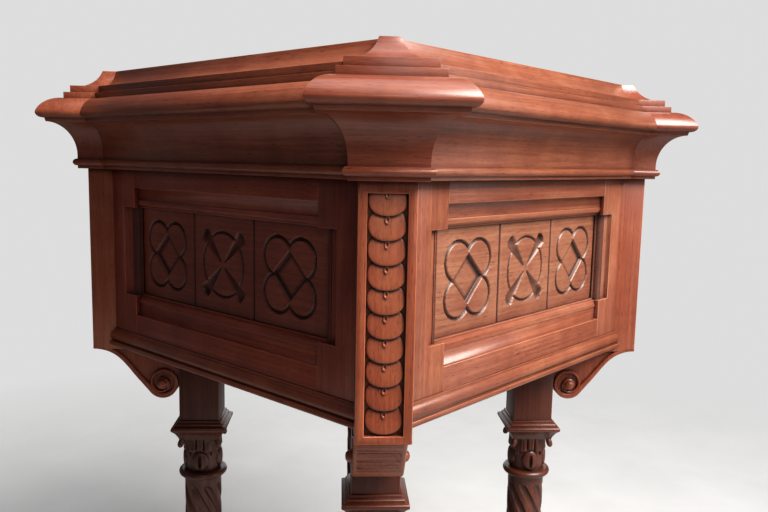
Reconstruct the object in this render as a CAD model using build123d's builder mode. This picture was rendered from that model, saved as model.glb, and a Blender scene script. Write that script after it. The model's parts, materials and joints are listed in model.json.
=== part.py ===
from build123d import *
import math
import os

# A square sewing table: a panelled case on four turned legs, with canted corner
# posts, a deep coved cornice that is the hinged lid, and a sliding till inside.
# Millimetres, +Z up, origin on the floor under the middle of the table.
# The front looks along -Y and the hinges are at the back, along +Y.

# ---- overall sizes ---------------------------------------------------------
case_z = 463.0            # floor to the underside of the corner posts
case_height = 208.0       # height of the posts, up to the lid's seat
case_half = 224.0         # middle of the table to the face of a side frame
lid_height = 109.0        # height of the cornice

# ---- corner posts ----------------------------------------------------------
post_width = 46.0
post_depth = 58.0
post_proud = 3.7          # post face beyond the corner of the side frames
channel_width = 31.4
channel_depth = 5.0
channel_bottom = 6.5      # above the foot of the post
channel_top = 9.5         # below the head of the post

# ---- side frames and their panels ------------------------------------------
frame_thickness = 22.0
frame_reveal = 5.5        # frames stop this far above the foot of the posts
opening_half = 150.0      # panel opening, half width
opening_bottom = 68.7     # above the foot of the posts
opening_height = 98.1
sunk_depth = 5.0          # sunk margin around the opening
sunk_side = 18.5
sunk_end = 21.4
notch_half = 146.4        # half length of the sunk margin above and below
panel_setback = 13.0      # frame face to panel face
bevel_angle = 42.0        # slope of the opening's edge, from the panel out to the margin
panel_thickness = 7.0
panel_tongue = 5.0        # how far a panel enters its groove
groove_slack = 1.0
panel_groove = 2.0        # depth of the V grooves that part the three squares

# ---- moulding round the foot of the case -----------------------------------
base_height = 19.8
base_out = 5.5
base_lip = 5.0
ogee_foot = 0.72          # where the ogee starts and ends, as parts of base_out
ogee_head = 0.18

# ---- legs, feet and stretchers ---------------------------------------------
leg_half = 23.0           # half width of the square blocks
bracket_reach = 97.3      # post face to the outer face of the leg block
block_drop = 88.0         # foot of the post to the foot of the upper block
abacus_half = 31.8
abacus_drop = 97.5
cavetto_drop = 110.0
neck_radius = 22.0
neck_drop = 151.6
ring_radius = 28.5
ring_height = 8.0
fillet_radius = 24.0
fillet_height = 2.0
column_radius = 21.4
column_relief = 3.0       # plain cove between a fillet and the fluted column
low_block_top = 150.0     # above the floor
low_block_bottom = 92.0
low_cap = 16.0            # cap between the lower ring and the lower block
foot_radius = 28.0
foot_neck = 17.0
foot_pad = 16.0
foot_ring = 5.0           # how far the foot's ring stands out from its neck
foot_cove = 1.2
bun_share, ring_share, cove_share = 0.54, 0.74, 0.90   # heights up the foot
bun_middle = 0.52         # height of the bun's widest place, as a part of its own
stretcher_width = 22.0
stretcher_height = 34.0
stretcher_rise = 12.0     # how far the stretchers arch up at the crossing
finial_radius = 19.0
finial_height = 62.0
finial_seat = 1.0         # flat let into the crossing under the finial
finial_base = 0.70        # radius of its foot, as a part of finial_radius
finial_waist = 0.35

# ---- scroll brackets -------------------------------------------------------
volute_radius = 18.0
volute_gap = 1.1          # volute to the outer face of the leg block
volute_down = 41.0        # volute centre, below the foot of the post
bracket_shoulder = 44.0   # lowest point of the joint with the leg block
volute_turn = 39.0        # degrees below level where the sweep runs into the volute
sweep_high = (0.31, 0.17)  # points of the sweep: parts of its run in and of volute_down
sweep_low = (0.60, 0.77)
toe_slope = -0.03
boss_radius = 7.0
boss_out = 6.0

# ---- cornice profile: distances out from the face, heights above its foot --
side_shift = 2.3          # side mouldings stand this far beyond the frame face
foot_out, foot_up = 8.3, 3.2
bead_out, bead_up = 12.4, 10.8
cove_out, cove_foot, cove_up = 32.5, 15.0, 50.0
lip_up = 54.0
thumb_out, thumb_up = 40.4, 60.0
thumb_top_out, thumb_top_up = 19.0, 76.0
step_one_out, step_one_up = 18.0, 82.5
step_two_out, step_two_up = 12.6, 90.0
ledge_out = 3.7
crown_mid_out, crown_mid_up = -9.0, 98.6
crown_out = -14.5         # the top flat stands back from the face
lip_slope = 1.0           # the lip leans out by this much
turn_sag = 1.2            # bulge of the turn under the thumb
thumb_share = 0.28, 0.60  # middle of the thumb, as parts of the way to its top

# ---- top board, bottom board ------------------------------------------------
board_thickness = 16.0
board_bite = 4.0          # let into the cornice by this much on each side
bottom_thickness = 12.0

# ---- hinges ----------------------------------------------------------------
hinge_out = 21.0          # pin axis behind the back frame's face
hinge_spread = 110.0      # each hinge from the middle of the back
hinge_length = 60.0
knuckles = 5
knuckle_gap = 0.3
barrel_radius = 4.5
pin_radius = 1.8
pin_clearance = 0.05
pin_head = 1.8            # head radius, as a multiple of the pin's
leaf_thickness = 2.0
leaf_inner = 18.0         # how far a leaf reaches in from the frame's face
leaf_relief = 0.6         # air between a leaf and the other leaf's knuckles
screw_spacing = 20.0
screw_inset = 10.0        # screw line, in from the frame's face
screw_head = 2.9
screw_head_depth = 1.2
screw_radius = 1.4
screw_length = 12.0

# ---- sliding till ----------------------------------------------------------
till_width = 176.0        # along X, the way it slides
till_height = 58.0
till_below_top = 6.0      # till rim below the lid's seat
till_wall = 7.0
till_bottom = 5.0
till_air = 1.0            # air between the till and each runner's fence
runner_ledge = 9.0        # width of the ledge under the till
runner_fence = 16.0       # width of the fence beside the till
runner_base = 12.0
runner_end_air = 3.0      # air between a runner's end and a corner post
divider_thickness = 5.0
divider_drop = 12.0       # dividers stop this far below the rim
pull_radius = 6.0
pull_height = 10.0
pull_waist = 0.45         # radius of its neck, as a part of pull_radius

# ---- values that follow ----------------------------------------------------
SIDES = {"front": -90, "right": 0, "back": 90, "left": 180}
CORNERS = {"front_right": -45, "back_right": 45, "back_left": 135, "front_left": 225}
seat_z = case_z + case_height
top_z = seat_z + lid_height
frame_z = case_z + frame_reveal
frame_inner = case_half - frame_thickness
board_half = frame_inner + board_bite
post_face = case_half * math.sqrt(2) + post_proud
post_inner = post_face - post_depth
post_half = post_width / 2
corner_reach = (post_face - post_half) / math.sqrt(2)   # ends a moulding inside the posts
leg_axis = post_face - bracket_reach - leg_half
volute_x = leg_axis + leg_half + volute_gap + volute_radius
sill_z = case_z + opening_bottom
head_z = sill_z + opening_height
case_middle = (sill_z + head_z) / 2
panel_plane = case_half - panel_setback
corner_sum = post_inner * math.sqrt(2)      # x + y along a post's inner face
runner_y = frame_inner - runner_fence       # inner face of a runner's fence
till_half = runner_y - till_air
till_top = seat_z - till_below_top
till_z = till_top - till_height
slide_end = corner_sum - till_half - runner_end_air
slide_travel = 2 * slide_end - till_width
hinge_y = case_half + hinge_out
knuckle_length = (hinge_length - (knuckles - 1) * knuckle_gap) / knuckles
plate_edge = hinge_y - barrel_radius - leaf_relief
stretcher_z = (low_block_top + low_block_bottom - stretcher_height) / 2
crossing_z = stretcher_z + stretcher_rise
finial_z = crossing_z + stretcher_height - finial_seat


def heading(angle):
    """Unit vector on plan at this angle from +X."""
    return Vector(math.cos(math.radians(angle)), math.sin(math.radians(angle)), 0)


def section_plane(angle, distance=0.0):
    """Upright plane whose x runs outward at this angle and whose y runs up."""
    out = heading(angle)
    return Plane(origin=out * distance, x_dir=out, z_dir=(out.Y, -out.X, 0))


def face_plane(angle, distance):
    """Upright plane parallel to a face, seen from outside; y runs up."""
    out = heading(angle)
    return Plane(origin=out * distance, x_dir=(-out.Y, out.X, 0), z_dir=out)


def level_plane(angle, distance, height):
    """Level plane over a point on plan, turned so that x runs outward."""
    out = heading(angle)
    return Plane(origin=out * distance + Vector(0, 0, height), x_dir=out, z_dir=(0, 0, 1))


def finish(name, part):
    """Label one finished piece and write it."""
    part.label = name
    export_step(part, f"parts/{name}.step")


def box_face(x0, x1, y0, y1):
    """Rectangle between two corners of the current sketch."""
    with Locations(((x0 + x1) / 2, (y0 + y1) / 2)):
        Rectangle(abs(x1 - x0), abs(y1 - y0))


# ---- case -------------------------------------------------------------------
def post_blank(angle):
    """Corner post before its channel is cut."""
    with BuildPart() as blank:
        with BuildSketch(level_plane(angle, (post_face + post_inner) / 2, case_z)):
            Rectangle(post_depth, post_width)
        extrude(amount=case_height)
    return blank.part


def corner_post(angle):
    """Square post set across the corner, with a sunk channel down its face."""
    with BuildPart() as post:
        add(post_blank(angle))
        with BuildSketch(face_plane(angle, post_face)):
            box_face(-channel_width / 2, channel_width / 2, case_z + channel_bottom, seat_z - channel_top)
        extrude(amount=-channel_depth, mode=Mode.SUBTRACT)
    return post.part


def frame_blank(angle):
    """Whole side frame in one slab, cut to the posts, pierced and rebated."""
    with BuildPart() as frame:
        with BuildSketch(face_plane(angle, case_half)):
            box_face(-case_half, case_half, frame_z, seat_z)
        extrude(amount=-frame_thickness)
        with BuildSketch(face_plane(angle, case_half)):
            side = opening_half + sunk_side
            box_face(-side, side, sill_z, head_z)
            box_face(-notch_half, notch_half, sill_z - sunk_end, head_z + sunk_end)
        extrude(amount=-sunk_depth, mode=Mode.SUBTRACT)
        with BuildSketch(face_plane(angle, case_half)):
            box_face(-opening_half, opening_half, sill_z, head_z)
        extrude(amount=-frame_thickness, mode=Mode.SUBTRACT)
        with BuildSketch(face_plane(angle, panel_plane)):
            box_face(-opening_half, opening_half, sill_z, head_z)
        extrude(amount=panel_setback - sunk_depth, taper=-bevel_angle, mode=Mode.SUBTRACT)
        with BuildSketch(face_plane(angle, panel_plane)):
            reach = opening_half + panel_tongue + groove_slack
            rise = panel_tongue + groove_slack
            box_face(-reach, reach, sill_z - rise, head_z + rise)
        extrude(amount=-panel_thickness, mode=Mode.SUBTRACT)
        for turn in (-45, 45):
            add(post_blank(angle + turn), mode=Mode.SUBTRACT)
    return frame.part


def frame_member(angle, x0, x1, y0, y1):
    """One stile or rail: the part of the side frame inside this rectangle."""
    with BuildPart() as member:
        add(frame_blank(angle))
        with BuildSketch(face_plane(angle, case_half)):
            box_face(x0, x1, y0, y1)
        extrude(amount=-frame_thickness, mode=Mode.INTERSECT)
    return member.part


def stiles(angle):
    """The two upright members beside a panel."""
    with BuildPart() as pair:
        add(frame_member(angle, -case_half, -notch_half, frame_z, seat_z))
        add(frame_member(angle, notch_half, case_half, frame_z, seat_z))
    return pair.part


def panel(angle):
    """Thin board in the frame's groove, parted into three squares by V grooves."""
    reach = opening_half + panel_tongue
    with BuildPart() as board:
        with BuildSketch(face_plane(angle, panel_plane)):
            box_face(-reach, reach, sill_z - panel_tongue, head_z + panel_tongue)
        extrude(amount=-panel_thickness)
        for side in (-1, 1):
            line = side * opening_half / 3
            with BuildSketch(Plane.XY.offset(sill_z)):
                centre = heading(angle) * panel_plane + heading(angle + 90) * line
                with Locations((centre.X, centre.Y)):
                    Rectangle(panel_groove * math.sqrt(2), panel_groove * math.sqrt(2), rotation=angle + 45)
            extrude(amount=opening_height, mode=Mode.SUBTRACT)
    return board.part


def base_moulding(angle):
    """Ogee and lip planted round the foot of the case, from post to post."""
    top = frame_z + base_height
    with BuildPart() as moulding:
        with BuildSketch(section_plane(angle)):
            with BuildLine():
                low = Line((case_half, frame_z), (case_half + base_out, frame_z))
                lip = Line(low @ 1, (case_half + base_out, frame_z + base_lip))
                seat = Line(lip @ 1, (case_half + base_out * ogee_foot, frame_z + base_lip))
                ogee = Spline(seat @ 1, (case_half + base_out * ogee_head, top), tangents=((0, 1), (0, 1)))
                head = Line(ogee @ 1, (case_half, top))
                Line(head @ 1, low @ 0)
            make_face()
        extrude(amount=corner_reach, both=True)
        for turn in (-45, 45):
            add(post_blank(angle + turn), mode=Mode.SUBTRACT)
    return moulding.part


def case_bottom():
    """Bottom board between the side frames, notched round the posts."""
    with BuildPart() as board:
        with BuildSketch(Plane.XY.offset(frame_z)):
            Rectangle(2 * frame_inner, 2 * frame_inner)
        extrude(amount=bottom_thickness)
        for angle in CORNERS.values():
            add(post_blank(angle), mode=Mode.SUBTRACT)
    return board.part


def till_runners():
    """Two L-shaped runners on the front and back frames that carry the till."""
    ledge = runner_y - runner_ledge
    reach = corner_sum - frame_inner - runner_end_air
    with BuildPart() as runners:
        for angle in (SIDES["front"], SIDES["back"]):
            with BuildSketch(section_plane(angle)):
                box_face(ledge, frame_inner, till_z - runner_base, till_z)
                box_face(runner_y, frame_inner, till_z - runner_base, till_top)
            extrude(amount=reach, both=True)
    return runners.part


# ---- legs -------------------------------------------------------------------
def scroll_bracket(angle):
    """Scrolled bracket that fills the corner between a post's foot and the leg block."""
    plane = section_plane(angle)
    wall_x = leg_axis + leg_half
    eye_z = case_z - volute_down
    run = post_face - volute_x
    across = math.cos(math.radians(volute_turn))
    down = math.sin(math.radians(volute_turn))
    landing = (volute_x + volute_radius * across, eye_z - volute_radius * down)
    with BuildPart() as bracket:
        with BuildSketch(plane):
            with BuildLine():
                toe = Line((post_inner, case_z), (post_face, case_z))
                sweep = Spline(
                    toe @ 1,
                    (post_face - run * sweep_high[0], case_z - volute_down * sweep_high[1]),
                    (post_face - run * sweep_low[0], case_z - volute_down * sweep_low[1]),
                    landing,
                    tangents=((-1, toe_slope), (-down, -across)),
                )
                eye = Line(sweep @ 1, (volute_x, eye_z))
                shoulder = Line(eye @ 1, (wall_x, case_z - bracket_shoulder))
                wall = Line(shoulder @ 1, (wall_x, frame_z))
                head = Line(wall @ 1, (post_inner, frame_z))
                Line(head @ 1, toe @ 0)
            make_face()
            with Locations((volute_x, eye_z)):
                Circle(volute_radius)
        extrude(amount=post_half, both=True)
        with BuildSketch(plane):
            with Locations((volute_x, eye_z)):
                Circle(boss_radius)
        extrude(amount=post_half + boss_out, both=True)
    return bracket.part


def leg(angle):
    """Square upper block, moulded abacus, turned neck, ring and column, lower block."""
    block_foot = case_z - block_drop
    abacus_z = case_z - abacus_drop
    cavetto_z = case_z - cavetto_drop
    ring_top = case_z - neck_drop
    ring_foot = ring_top - ring_height
    fillet_foot = ring_foot - fillet_height
    low_ring = low_block_top + low_cap
    low_fillet = low_ring + ring_height
    with BuildPart() as shaft:
        with BuildSketch(level_plane(angle, leg_axis, block_foot)):
            Rectangle(2 * leg_half, 2 * leg_half)
        extrude(amount=frame_z - block_foot)
        with BuildSketch(level_plane(angle, leg_axis, abacus_z)):
            Rectangle(2 * abacus_half, 2 * abacus_half)
        extrude(amount=(block_foot - abacus_z) / 2)
        with BuildSketch(level_plane(angle, leg_axis, abacus_z)):
            Rectangle(leg_half + abacus_half, leg_half + abacus_half)
        extrude(amount=block_foot - abacus_z)
        with BuildSketch(level_plane(angle, leg_axis, cavetto_z)):
            Rectangle(2 * leg_half, 2 * leg_half)
        extrude(amount=abacus_z - cavetto_z)
        with BuildSketch(section_plane(angle, leg_axis)):
            with BuildLine():
                top = Line((0, cavetto_z), (neck_radius, cavetto_z))
                neck = Polyline(top @ 1, (neck_radius, ring_top), (fillet_radius, ring_top))
                bulge = ThreePointArc(
                    neck @ 1, (ring_radius, ring_top - ring_height / 2), (fillet_radius, ring_foot)
                )
                column = Polyline(
                    bulge @ 1,
                    (fillet_radius, fillet_foot),
                    (column_radius, fillet_foot - column_relief),
                    (column_radius, low_fillet + fillet_height + column_relief),
                    (fillet_radius, low_fillet + fillet_height),
                    (fillet_radius, low_fillet),
                )
                low_bulge = ThreePointArc(
                    column @ 1, (ring_radius, low_ring + ring_height / 2), (fillet_radius, low_ring)
                )
                Polyline(
                    low_bulge @ 1,
                    (neck_radius, low_ring),
                    (neck_radius, low_block_top),
                    (0, low_block_top),
                    top @ 0,
                )
            make_face()
        revolve(axis=Axis(heading(angle) * leg_axis, (0, 0, 1)))
        with BuildSketch(level_plane(angle, leg_axis, low_block_bottom)):
            Rectangle(2 * leg_half, 2 * leg_half)
        extrude(amount=low_block_top - low_block_bottom)
    return shaft.part


def foot(angle):
    """Turned bun foot with a ringed neck under the lower block."""
    bun_top = low_block_bottom * bun_share
    ring_top = low_block_bottom * ring_share
    with BuildPart() as turned:
        with BuildSketch(section_plane(angle, leg_axis)):
            with BuildLine():
                sole = Line((0, 0), (foot_pad, 0))
                bun = ThreePointArc(sole @ 1, (foot_radius, bun_top * bun_middle), (foot_neck, bun_top))
                ring = ThreePointArc(
                    bun @ 1, (foot_neck + foot_ring, (bun_top + ring_top) / 2), (foot_neck, ring_top)
                )
                cove = ThreePointArc(
                    ring @ 1,
                    (foot_neck + foot_cove, low_block_bottom * cove_share),
                    (neck_radius - foot_cove, low_block_bottom),
                )
                head = Line(cove @ 1, (0, low_block_bottom))
                Line(head @ 1, sole @ 0)
            make_face()
        revolve(axis=Axis(heading(angle) * leg_axis, (0, 0, 1)))
    return turned.part


def stretcher(angle, lap_z):
    """Arched diagonal rail between two lower blocks, half lapped from this height."""
    span = leg_axis - leg_half
    with BuildPart() as rail:
        with BuildSketch(section_plane(angle)):
            with BuildLine():
                low = ThreePointArc((-span, stretcher_z), (0, crossing_z), (span, stretcher_z))
                right = Line(low @ 1, (span, stretcher_z + stretcher_height))
                top = ThreePointArc(
                    right @ 1, (0, crossing_z + stretcher_height), (-span, stretcher_z + stretcher_height)
                )
                Line(top @ 1, low @ 0)
            make_face()
        extrude(amount=stretcher_width / 2, both=True)
        with BuildSketch(level_plane(angle, 0, lap_z)):
            Rectangle(stretcher_width, 2 * stretcher_width)
        extrude(amount=stretcher_height, mode=Mode.SUBTRACT)
        with BuildSketch(Plane.XY.offset(finial_z)):
            Circle(finial_radius * finial_base)
        extrude(amount=stretcher_height, mode=Mode.SUBTRACT)
    return rail.part


def finial():
    """Turned urn on the crossing of the stretchers."""
    base = finial_radius * finial_base
    waist = finial_radius * finial_waist
    with BuildPart() as urn:
        with BuildSketch(Plane.XZ):
            with BuildLine():
                sole = Line((0, finial_z), (base, finial_z))
                rim = Line(sole @ 1, (base, finial_z + finial_height * 0.08))
                body = Spline(
                    rim @ 1,
                    (waist, finial_z + finial_height * 0.22),
                    (finial_radius, finial_z + finial_height * 0.50),
                    (waist, finial_z + finial_height * 0.78),
                    (0, finial_z + finial_height),
                )
                Line(body @ 1, sole @ 0)
            make_face()
        revolve(axis=Axis.Z)
    return urn.part


# ---- lid --------------------------------------------------------------------
def cornice_outline(back, face):
    """Closed section of the cornice between a back line and its moulded edge."""
    foot_z = seat_z
    with BuildLine() as outline:
        foot_line = Line((back, foot_z), (face + foot_out, foot_z))
        under = Line(foot_line @ 1, (face + foot_out, foot_z + foot_up))
        bead = ThreePointArc(
            under @ 1,
            (face + bead_out, foot_z + (foot_up + bead_up) / 2),
            (face + foot_out, foot_z + bead_up),
        )
        Line(bead @ 1, (face + foot_out, foot_z + cove_foot))
        cove = EllipticalCenterArc(
            (face + cove_out, foot_z + cove_foot),
            cove_out - foot_out,
            cove_up - cove_foot,
            start_angle=90,
            arc_size=90,
        )
        lip = Line(cove @ 0, (face + cove_out + lip_slope, foot_z + lip_up))
        turn = ThreePointArc(
            lip @ 1,
            (face + thumb_out - turn_sag, foot_z + (lip_up + thumb_up) / 2 - turn_sag),
            (face + thumb_out, foot_z + thumb_up),
        )
        thumb = ThreePointArc(
            turn @ 1,
            (
                face + thumb_out + (thumb_top_out - thumb_out) * thumb_share[0],
                foot_z + thumb_up + (thumb_top_up - thumb_up) * thumb_share[1],
            ),
            (face + thumb_top_out, foot_z + thumb_top_up),
        )
        steps = Polyline(
            thumb @ 1,
            (face + step_one_out, foot_z + thumb_top_up),
            (face + step_one_out, foot_z + step_one_up),
            (face + step_two_out, foot_z + step_one_up),
            (face + step_two_out, foot_z + step_two_up),
            (face + ledge_out, foot_z + step_two_up),
        )
        crown = ThreePointArc(
            steps @ 1, (face + crown_mid_out, foot_z + crown_mid_up), (face + crown_out, foot_z + lid_height)
        )
        top_line = Line(crown @ 1, (back, foot_z + lid_height))
        Line(top_line @ 1, foot_line @ 0)
    return outline.line


def cornice_block_blank(angle):
    """Corner capital: the cornice mitred round the three open faces of a post."""
    with BuildPart() as blank:
        with BuildSketch(section_plane(angle)):
            make_face(cornice_outline(post_inner, post_face).edges())
        extrude(amount=post_half + 2 * thumb_out, both=True)
        with BuildSketch(face_plane(angle, 0)):
            make_face(cornice_outline(0, post_half).edges())
            mirror(about=Plane.YZ)
        extrude(amount=post_face + 2 * thumb_out, mode=Mode.INTERSECT)
    return blank.part


def board_blank():
    """Top board, which also cuts its own seat in the cornice."""
    with BuildPart() as board:
        with BuildSketch(Plane.XY.offset(top_z - board_thickness)):
            Rectangle(2 * board_half, 2 * board_half)
        extrude(amount=board_thickness)
    return board.part


def cornice_block(angle):
    """Corner capital, notched under the corner of the top board."""
    with BuildPart() as block:
        add(cornice_block_blank(angle))
        add(board_blank(), mode=Mode.SUBTRACT)
    return block.part


def cornice_side(angle):
    """Cornice moulding of one side, between two capitals, rebated for the top board."""
    with BuildPart() as side:
        with BuildSketch(section_plane(angle)):
            make_face(cornice_outline(frame_inner, case_half + side_shift).edges())
        extrude(amount=corner_reach, both=True)
        for turn in (-45, 45):
            add(cornice_block_blank(angle + turn), mode=Mode.SUBTRACT)
        add(board_blank(), mode=Mode.SUBTRACT)
    with BuildPart() as whole:      # leaves the saw's splinters behind
        add(side.part.solids().sort_by(SortBy.VOLUME)[-1])
    return whole.part


# ---- hinges -----------------------------------------------------------------
def leaf_plates(base_z):
    """The flat plates of both hinges, cut back clear of the other leaf's knuckles."""
    with BuildPart() as plates:
        with BuildSketch(Plane.XY.offset(base_z)):
            for middle in (-hinge_spread, hinge_spread):
                box_face(
                    middle - hinge_length / 2, middle + hinge_length / 2, case_half - leaf_inner, plate_edge
                )
        extrude(amount=leaf_thickness)
    return plates.part


def screws(way):
    """Three countersunk screws in each plate; way is +1 up into the lid, -1 down."""
    with BuildPart() as one:
        with BuildSketch(Plane.XZ):
            with BuildLine():
                Polyline(
                    (0, 0),
                    (screw_head, 0),
                    (screw_radius, way * screw_head_depth),
                    (screw_radius, way * (screw_length - screw_radius)),
                    (0, way * screw_length),
                    close=True,
                )
            make_face()
        revolve(axis=Axis.Z)
    with BuildPart() as group:
        for middle in (-hinge_spread, hinge_spread):
            for step in (-1, 0, 1):
                with Locations((middle + step * screw_spacing, case_half - screw_inset, seat_z)):
                    add(one.part)
    return group.part


def hinge_leaves(base_z, first, clearance, way):
    """One leaf of each hinge with every second knuckle, starting at this one."""
    with BuildPart() as pair:
        add(leaf_plates(base_z))
        for middle in (-hinge_spread, hinge_spread):
            for number in range(first, knuckles, 2):
                start = middle - hinge_length / 2 + number * (knuckle_length + knuckle_gap)
                with BuildSketch(Plane.XY.offset(base_z)):
                    box_face(start, start + knuckle_length, plate_edge, hinge_y)
                extrude(amount=leaf_thickness)
                with BuildSketch(Plane.YZ.offset(start)):
                    with Locations((hinge_y, seat_z)):
                        Circle(barrel_radius)
                extrude(amount=knuckle_length)
        with BuildSketch(Plane.YZ):
            with Locations((hinge_y, seat_z)):
                Circle(pin_radius + clearance)
        extrude(amount=hinge_spread + hinge_length, both=True, mode=Mode.SUBTRACT)
        add(screws(way), mode=Mode.SUBTRACT)
    return pair.part


def hinge_pins():
    """A headed pin through the knuckles of each hinge."""
    with BuildPart() as pins:
        for middle in (-hinge_spread, hinge_spread):
            with BuildSketch(Plane.YZ.offset(middle)):
                with Locations((hinge_y, seat_z)):
                    Circle(pin_radius)
            extrude(amount=hinge_length / 2, both=True)
            for end in (-1, 1):
                with BuildSketch(Plane.YZ.offset(middle + end * hinge_length / 2)):
                    with Locations((hinge_y, seat_z)):
                        Circle(pin_radius * pin_head)
                extrude(amount=end * pin_radius)
    return pins.part


def back_rail(blank):
    """Back top rail with the hinge leaves and their screws let in."""
    with BuildPart() as rail:
        add(blank)
        add(leaf_plates(seat_z - leaf_thickness), mode=Mode.SUBTRACT)
        add(screws(-1), mode=Mode.SUBTRACT)
    return rail.part


def back_cornice(blank):
    """Back cornice with the lid's hinge leaves and their screws let in."""
    with BuildPart() as side:
        add(blank)
        add(leaf_plates(seat_z), mode=Mode.SUBTRACT)
        add(screws(1), mode=Mode.SUBTRACT)
    return side.part


# ---- till -------------------------------------------------------------------
till_left = -slide_end
till_right = till_left + till_width
till_middle = (till_left + till_right) / 2
till_floor = till_z + till_bottom
divider_top = till_top - divider_drop
bay_end = till_half - till_wall


def till_boards(along):
    """Two opposite walls of the till: the long ones, or the ends between them."""
    with BuildPart() as walls:
        with BuildSketch(Plane.XY.offset(till_z)):
            if along:
                box_face(till_left, till_left + till_wall, -till_half, till_half)
                box_face(till_right - till_wall, till_right, -till_half, till_half)
            else:
                box_face(till_left + till_wall, till_right - till_wall, -till_half, -bay_end)
                box_face(till_left + till_wall, till_right - till_wall, bay_end, till_half)
        extrude(amount=till_height)
    return walls.part


def till_base():
    """Thin bottom between the till's walls."""
    with BuildPart() as base:
        with BuildSketch(Plane.XY.offset(till_z)):
            box_face(till_left + till_wall, till_right - till_wall, -bay_end, bay_end)
        extrude(amount=till_bottom)
    return base.part


def till_dividers():
    """Long spine down the middle of the till and the short dividers beside it."""
    spine_low = till_middle - divider_thickness / 2
    spine_high = till_middle + divider_thickness / 2
    with BuildPart() as dividers:
        with BuildSketch(Plane.XY.offset(till_floor)):
            box_face(spine_low, spine_high, -bay_end, bay_end)
        extrude(amount=divider_top - till_floor)
        for step in (-1, 0, 1):
            low = step * bay_end / 2 - divider_thickness / 2
            with BuildSketch(Plane.XY.offset(till_floor)):
                box_face(till_left + till_wall, spine_low, low, low + divider_thickness)
                box_face(spine_high, till_right - till_wall, low, low + divider_thickness)
            extrude(amount=divider_top - till_floor)
    return dividers.part


def till_pull():
    """Small turned knob on the middle of the spine, to slide or lift the till by."""
    waist = pull_radius * pull_waist
    with BuildPart() as knob:
        with BuildSketch(Plane(origin=(till_middle, 0, 0), x_dir=(1, 0, 0), z_dir=(0, -1, 0))):
            with BuildLine():
                sole = Line((0, divider_top), (waist, divider_top))
                neck = Line(sole @ 1, (waist, divider_top + pull_height * 0.3))
                bulb = ThreePointArc(
                    neck @ 1,
                    (pull_radius, divider_top + pull_height * 0.65),
                    (waist, divider_top + pull_height),
                )
                crown = Line(bulb @ 1, (0, divider_top + pull_height))
                Line(crown @ 1, sole @ 0)
            make_face()
        revolve(axis=Axis((till_middle, 0, 0), (0, 0, 1)))
    return knob.part


# ---- build every piece ------------------------------------------------------
os.makedirs("parts", exist_ok=True)

for corner, angle in CORNERS.items():
    finish(f"post_{corner}", corner_post(angle))
    finish(f"bracket_{corner}", scroll_bracket(angle))
    finish(f"leg_{corner}", leg(angle))
    finish(f"foot_{corner}", foot(angle))
    finish(f"cornice_block_{corner}", cornice_block(angle))

for side, angle in SIDES.items():
    finish(f"{side}_stiles", stiles(angle))
    top_rail = frame_member(angle, -notch_half, notch_half, case_middle, seat_z)
    finish(f"{side}_top_rail", back_rail(top_rail) if side == "back" else top_rail)
    finish(f"{side}_bottom_rail", frame_member(angle, -notch_half, notch_half, frame_z, case_middle))
    finish(f"{side}_panel", panel(angle))
    finish(f"{side}_base_moulding", base_moulding(angle))
    cornice = cornice_side(angle)
    finish(f"{side}_cornice", back_cornice(cornice) if side == "back" else cornice)

finish("case_bottom", case_bottom())
finish("till_runners", till_runners())
finish("stretcher_lower", stretcher(45, crossing_z + stretcher_height / 2))
finish("stretcher_upper", stretcher(-45, crossing_z - stretcher_height / 2))
finish("stretcher_finial", finial())
finish("top_board", board_blank())
finish("case_hinge_leaves", hinge_leaves(seat_z - leaf_thickness, 0, 0, -1))
finish("lid_hinge_leaves", hinge_leaves(seat_z, 1, pin_clearance, 1))
finish("hinge_pins", hinge_pins())
finish("case_hinge_screws", screws(-1))
finish("lid_hinge_screws", screws(1))
finish("till_sides", till_boards(True))
finish("till_ends", till_boards(False))
finish("till_bottom", till_base())
finish("till_dividers", till_dividers())
finish("till_pull", till_pull())
print("hinge axis y", hinge_y, "z", seat_z, "slide travel", slide_travel, "post face", post_face)
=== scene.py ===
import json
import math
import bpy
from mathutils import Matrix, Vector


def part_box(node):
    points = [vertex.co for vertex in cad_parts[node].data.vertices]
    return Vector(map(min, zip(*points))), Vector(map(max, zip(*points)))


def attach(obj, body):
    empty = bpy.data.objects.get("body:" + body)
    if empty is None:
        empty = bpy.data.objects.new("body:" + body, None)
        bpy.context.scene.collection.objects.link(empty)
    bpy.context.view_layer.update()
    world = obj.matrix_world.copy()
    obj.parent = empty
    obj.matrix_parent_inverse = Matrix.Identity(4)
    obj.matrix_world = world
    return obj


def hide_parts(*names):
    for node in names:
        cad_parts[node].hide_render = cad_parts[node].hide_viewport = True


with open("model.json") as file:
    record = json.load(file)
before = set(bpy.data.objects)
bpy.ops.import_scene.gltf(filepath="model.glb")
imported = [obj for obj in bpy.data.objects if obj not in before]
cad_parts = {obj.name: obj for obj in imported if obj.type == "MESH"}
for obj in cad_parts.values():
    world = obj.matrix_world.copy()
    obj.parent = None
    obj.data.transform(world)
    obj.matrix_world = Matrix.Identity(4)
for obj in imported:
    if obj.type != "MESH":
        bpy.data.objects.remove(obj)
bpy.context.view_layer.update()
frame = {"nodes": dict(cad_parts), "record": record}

# %% [markdown]
# # A carved sewing table, finished in Blender
# The joiner's model gives every board, post and hinge at its real size. This lesson
# turns those boards into varnished walnut: it takes the knife edges off, carves the
# panels and posts, turns the legs, and lights the piece.
# Lengths are in metres. The front looks along -Y and the hinges are along +Y.

# %% The tools of the lesson
import zlib

import bmesh
import bpy
import numpy as np
from mathutils import Matrix, Vector

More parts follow.
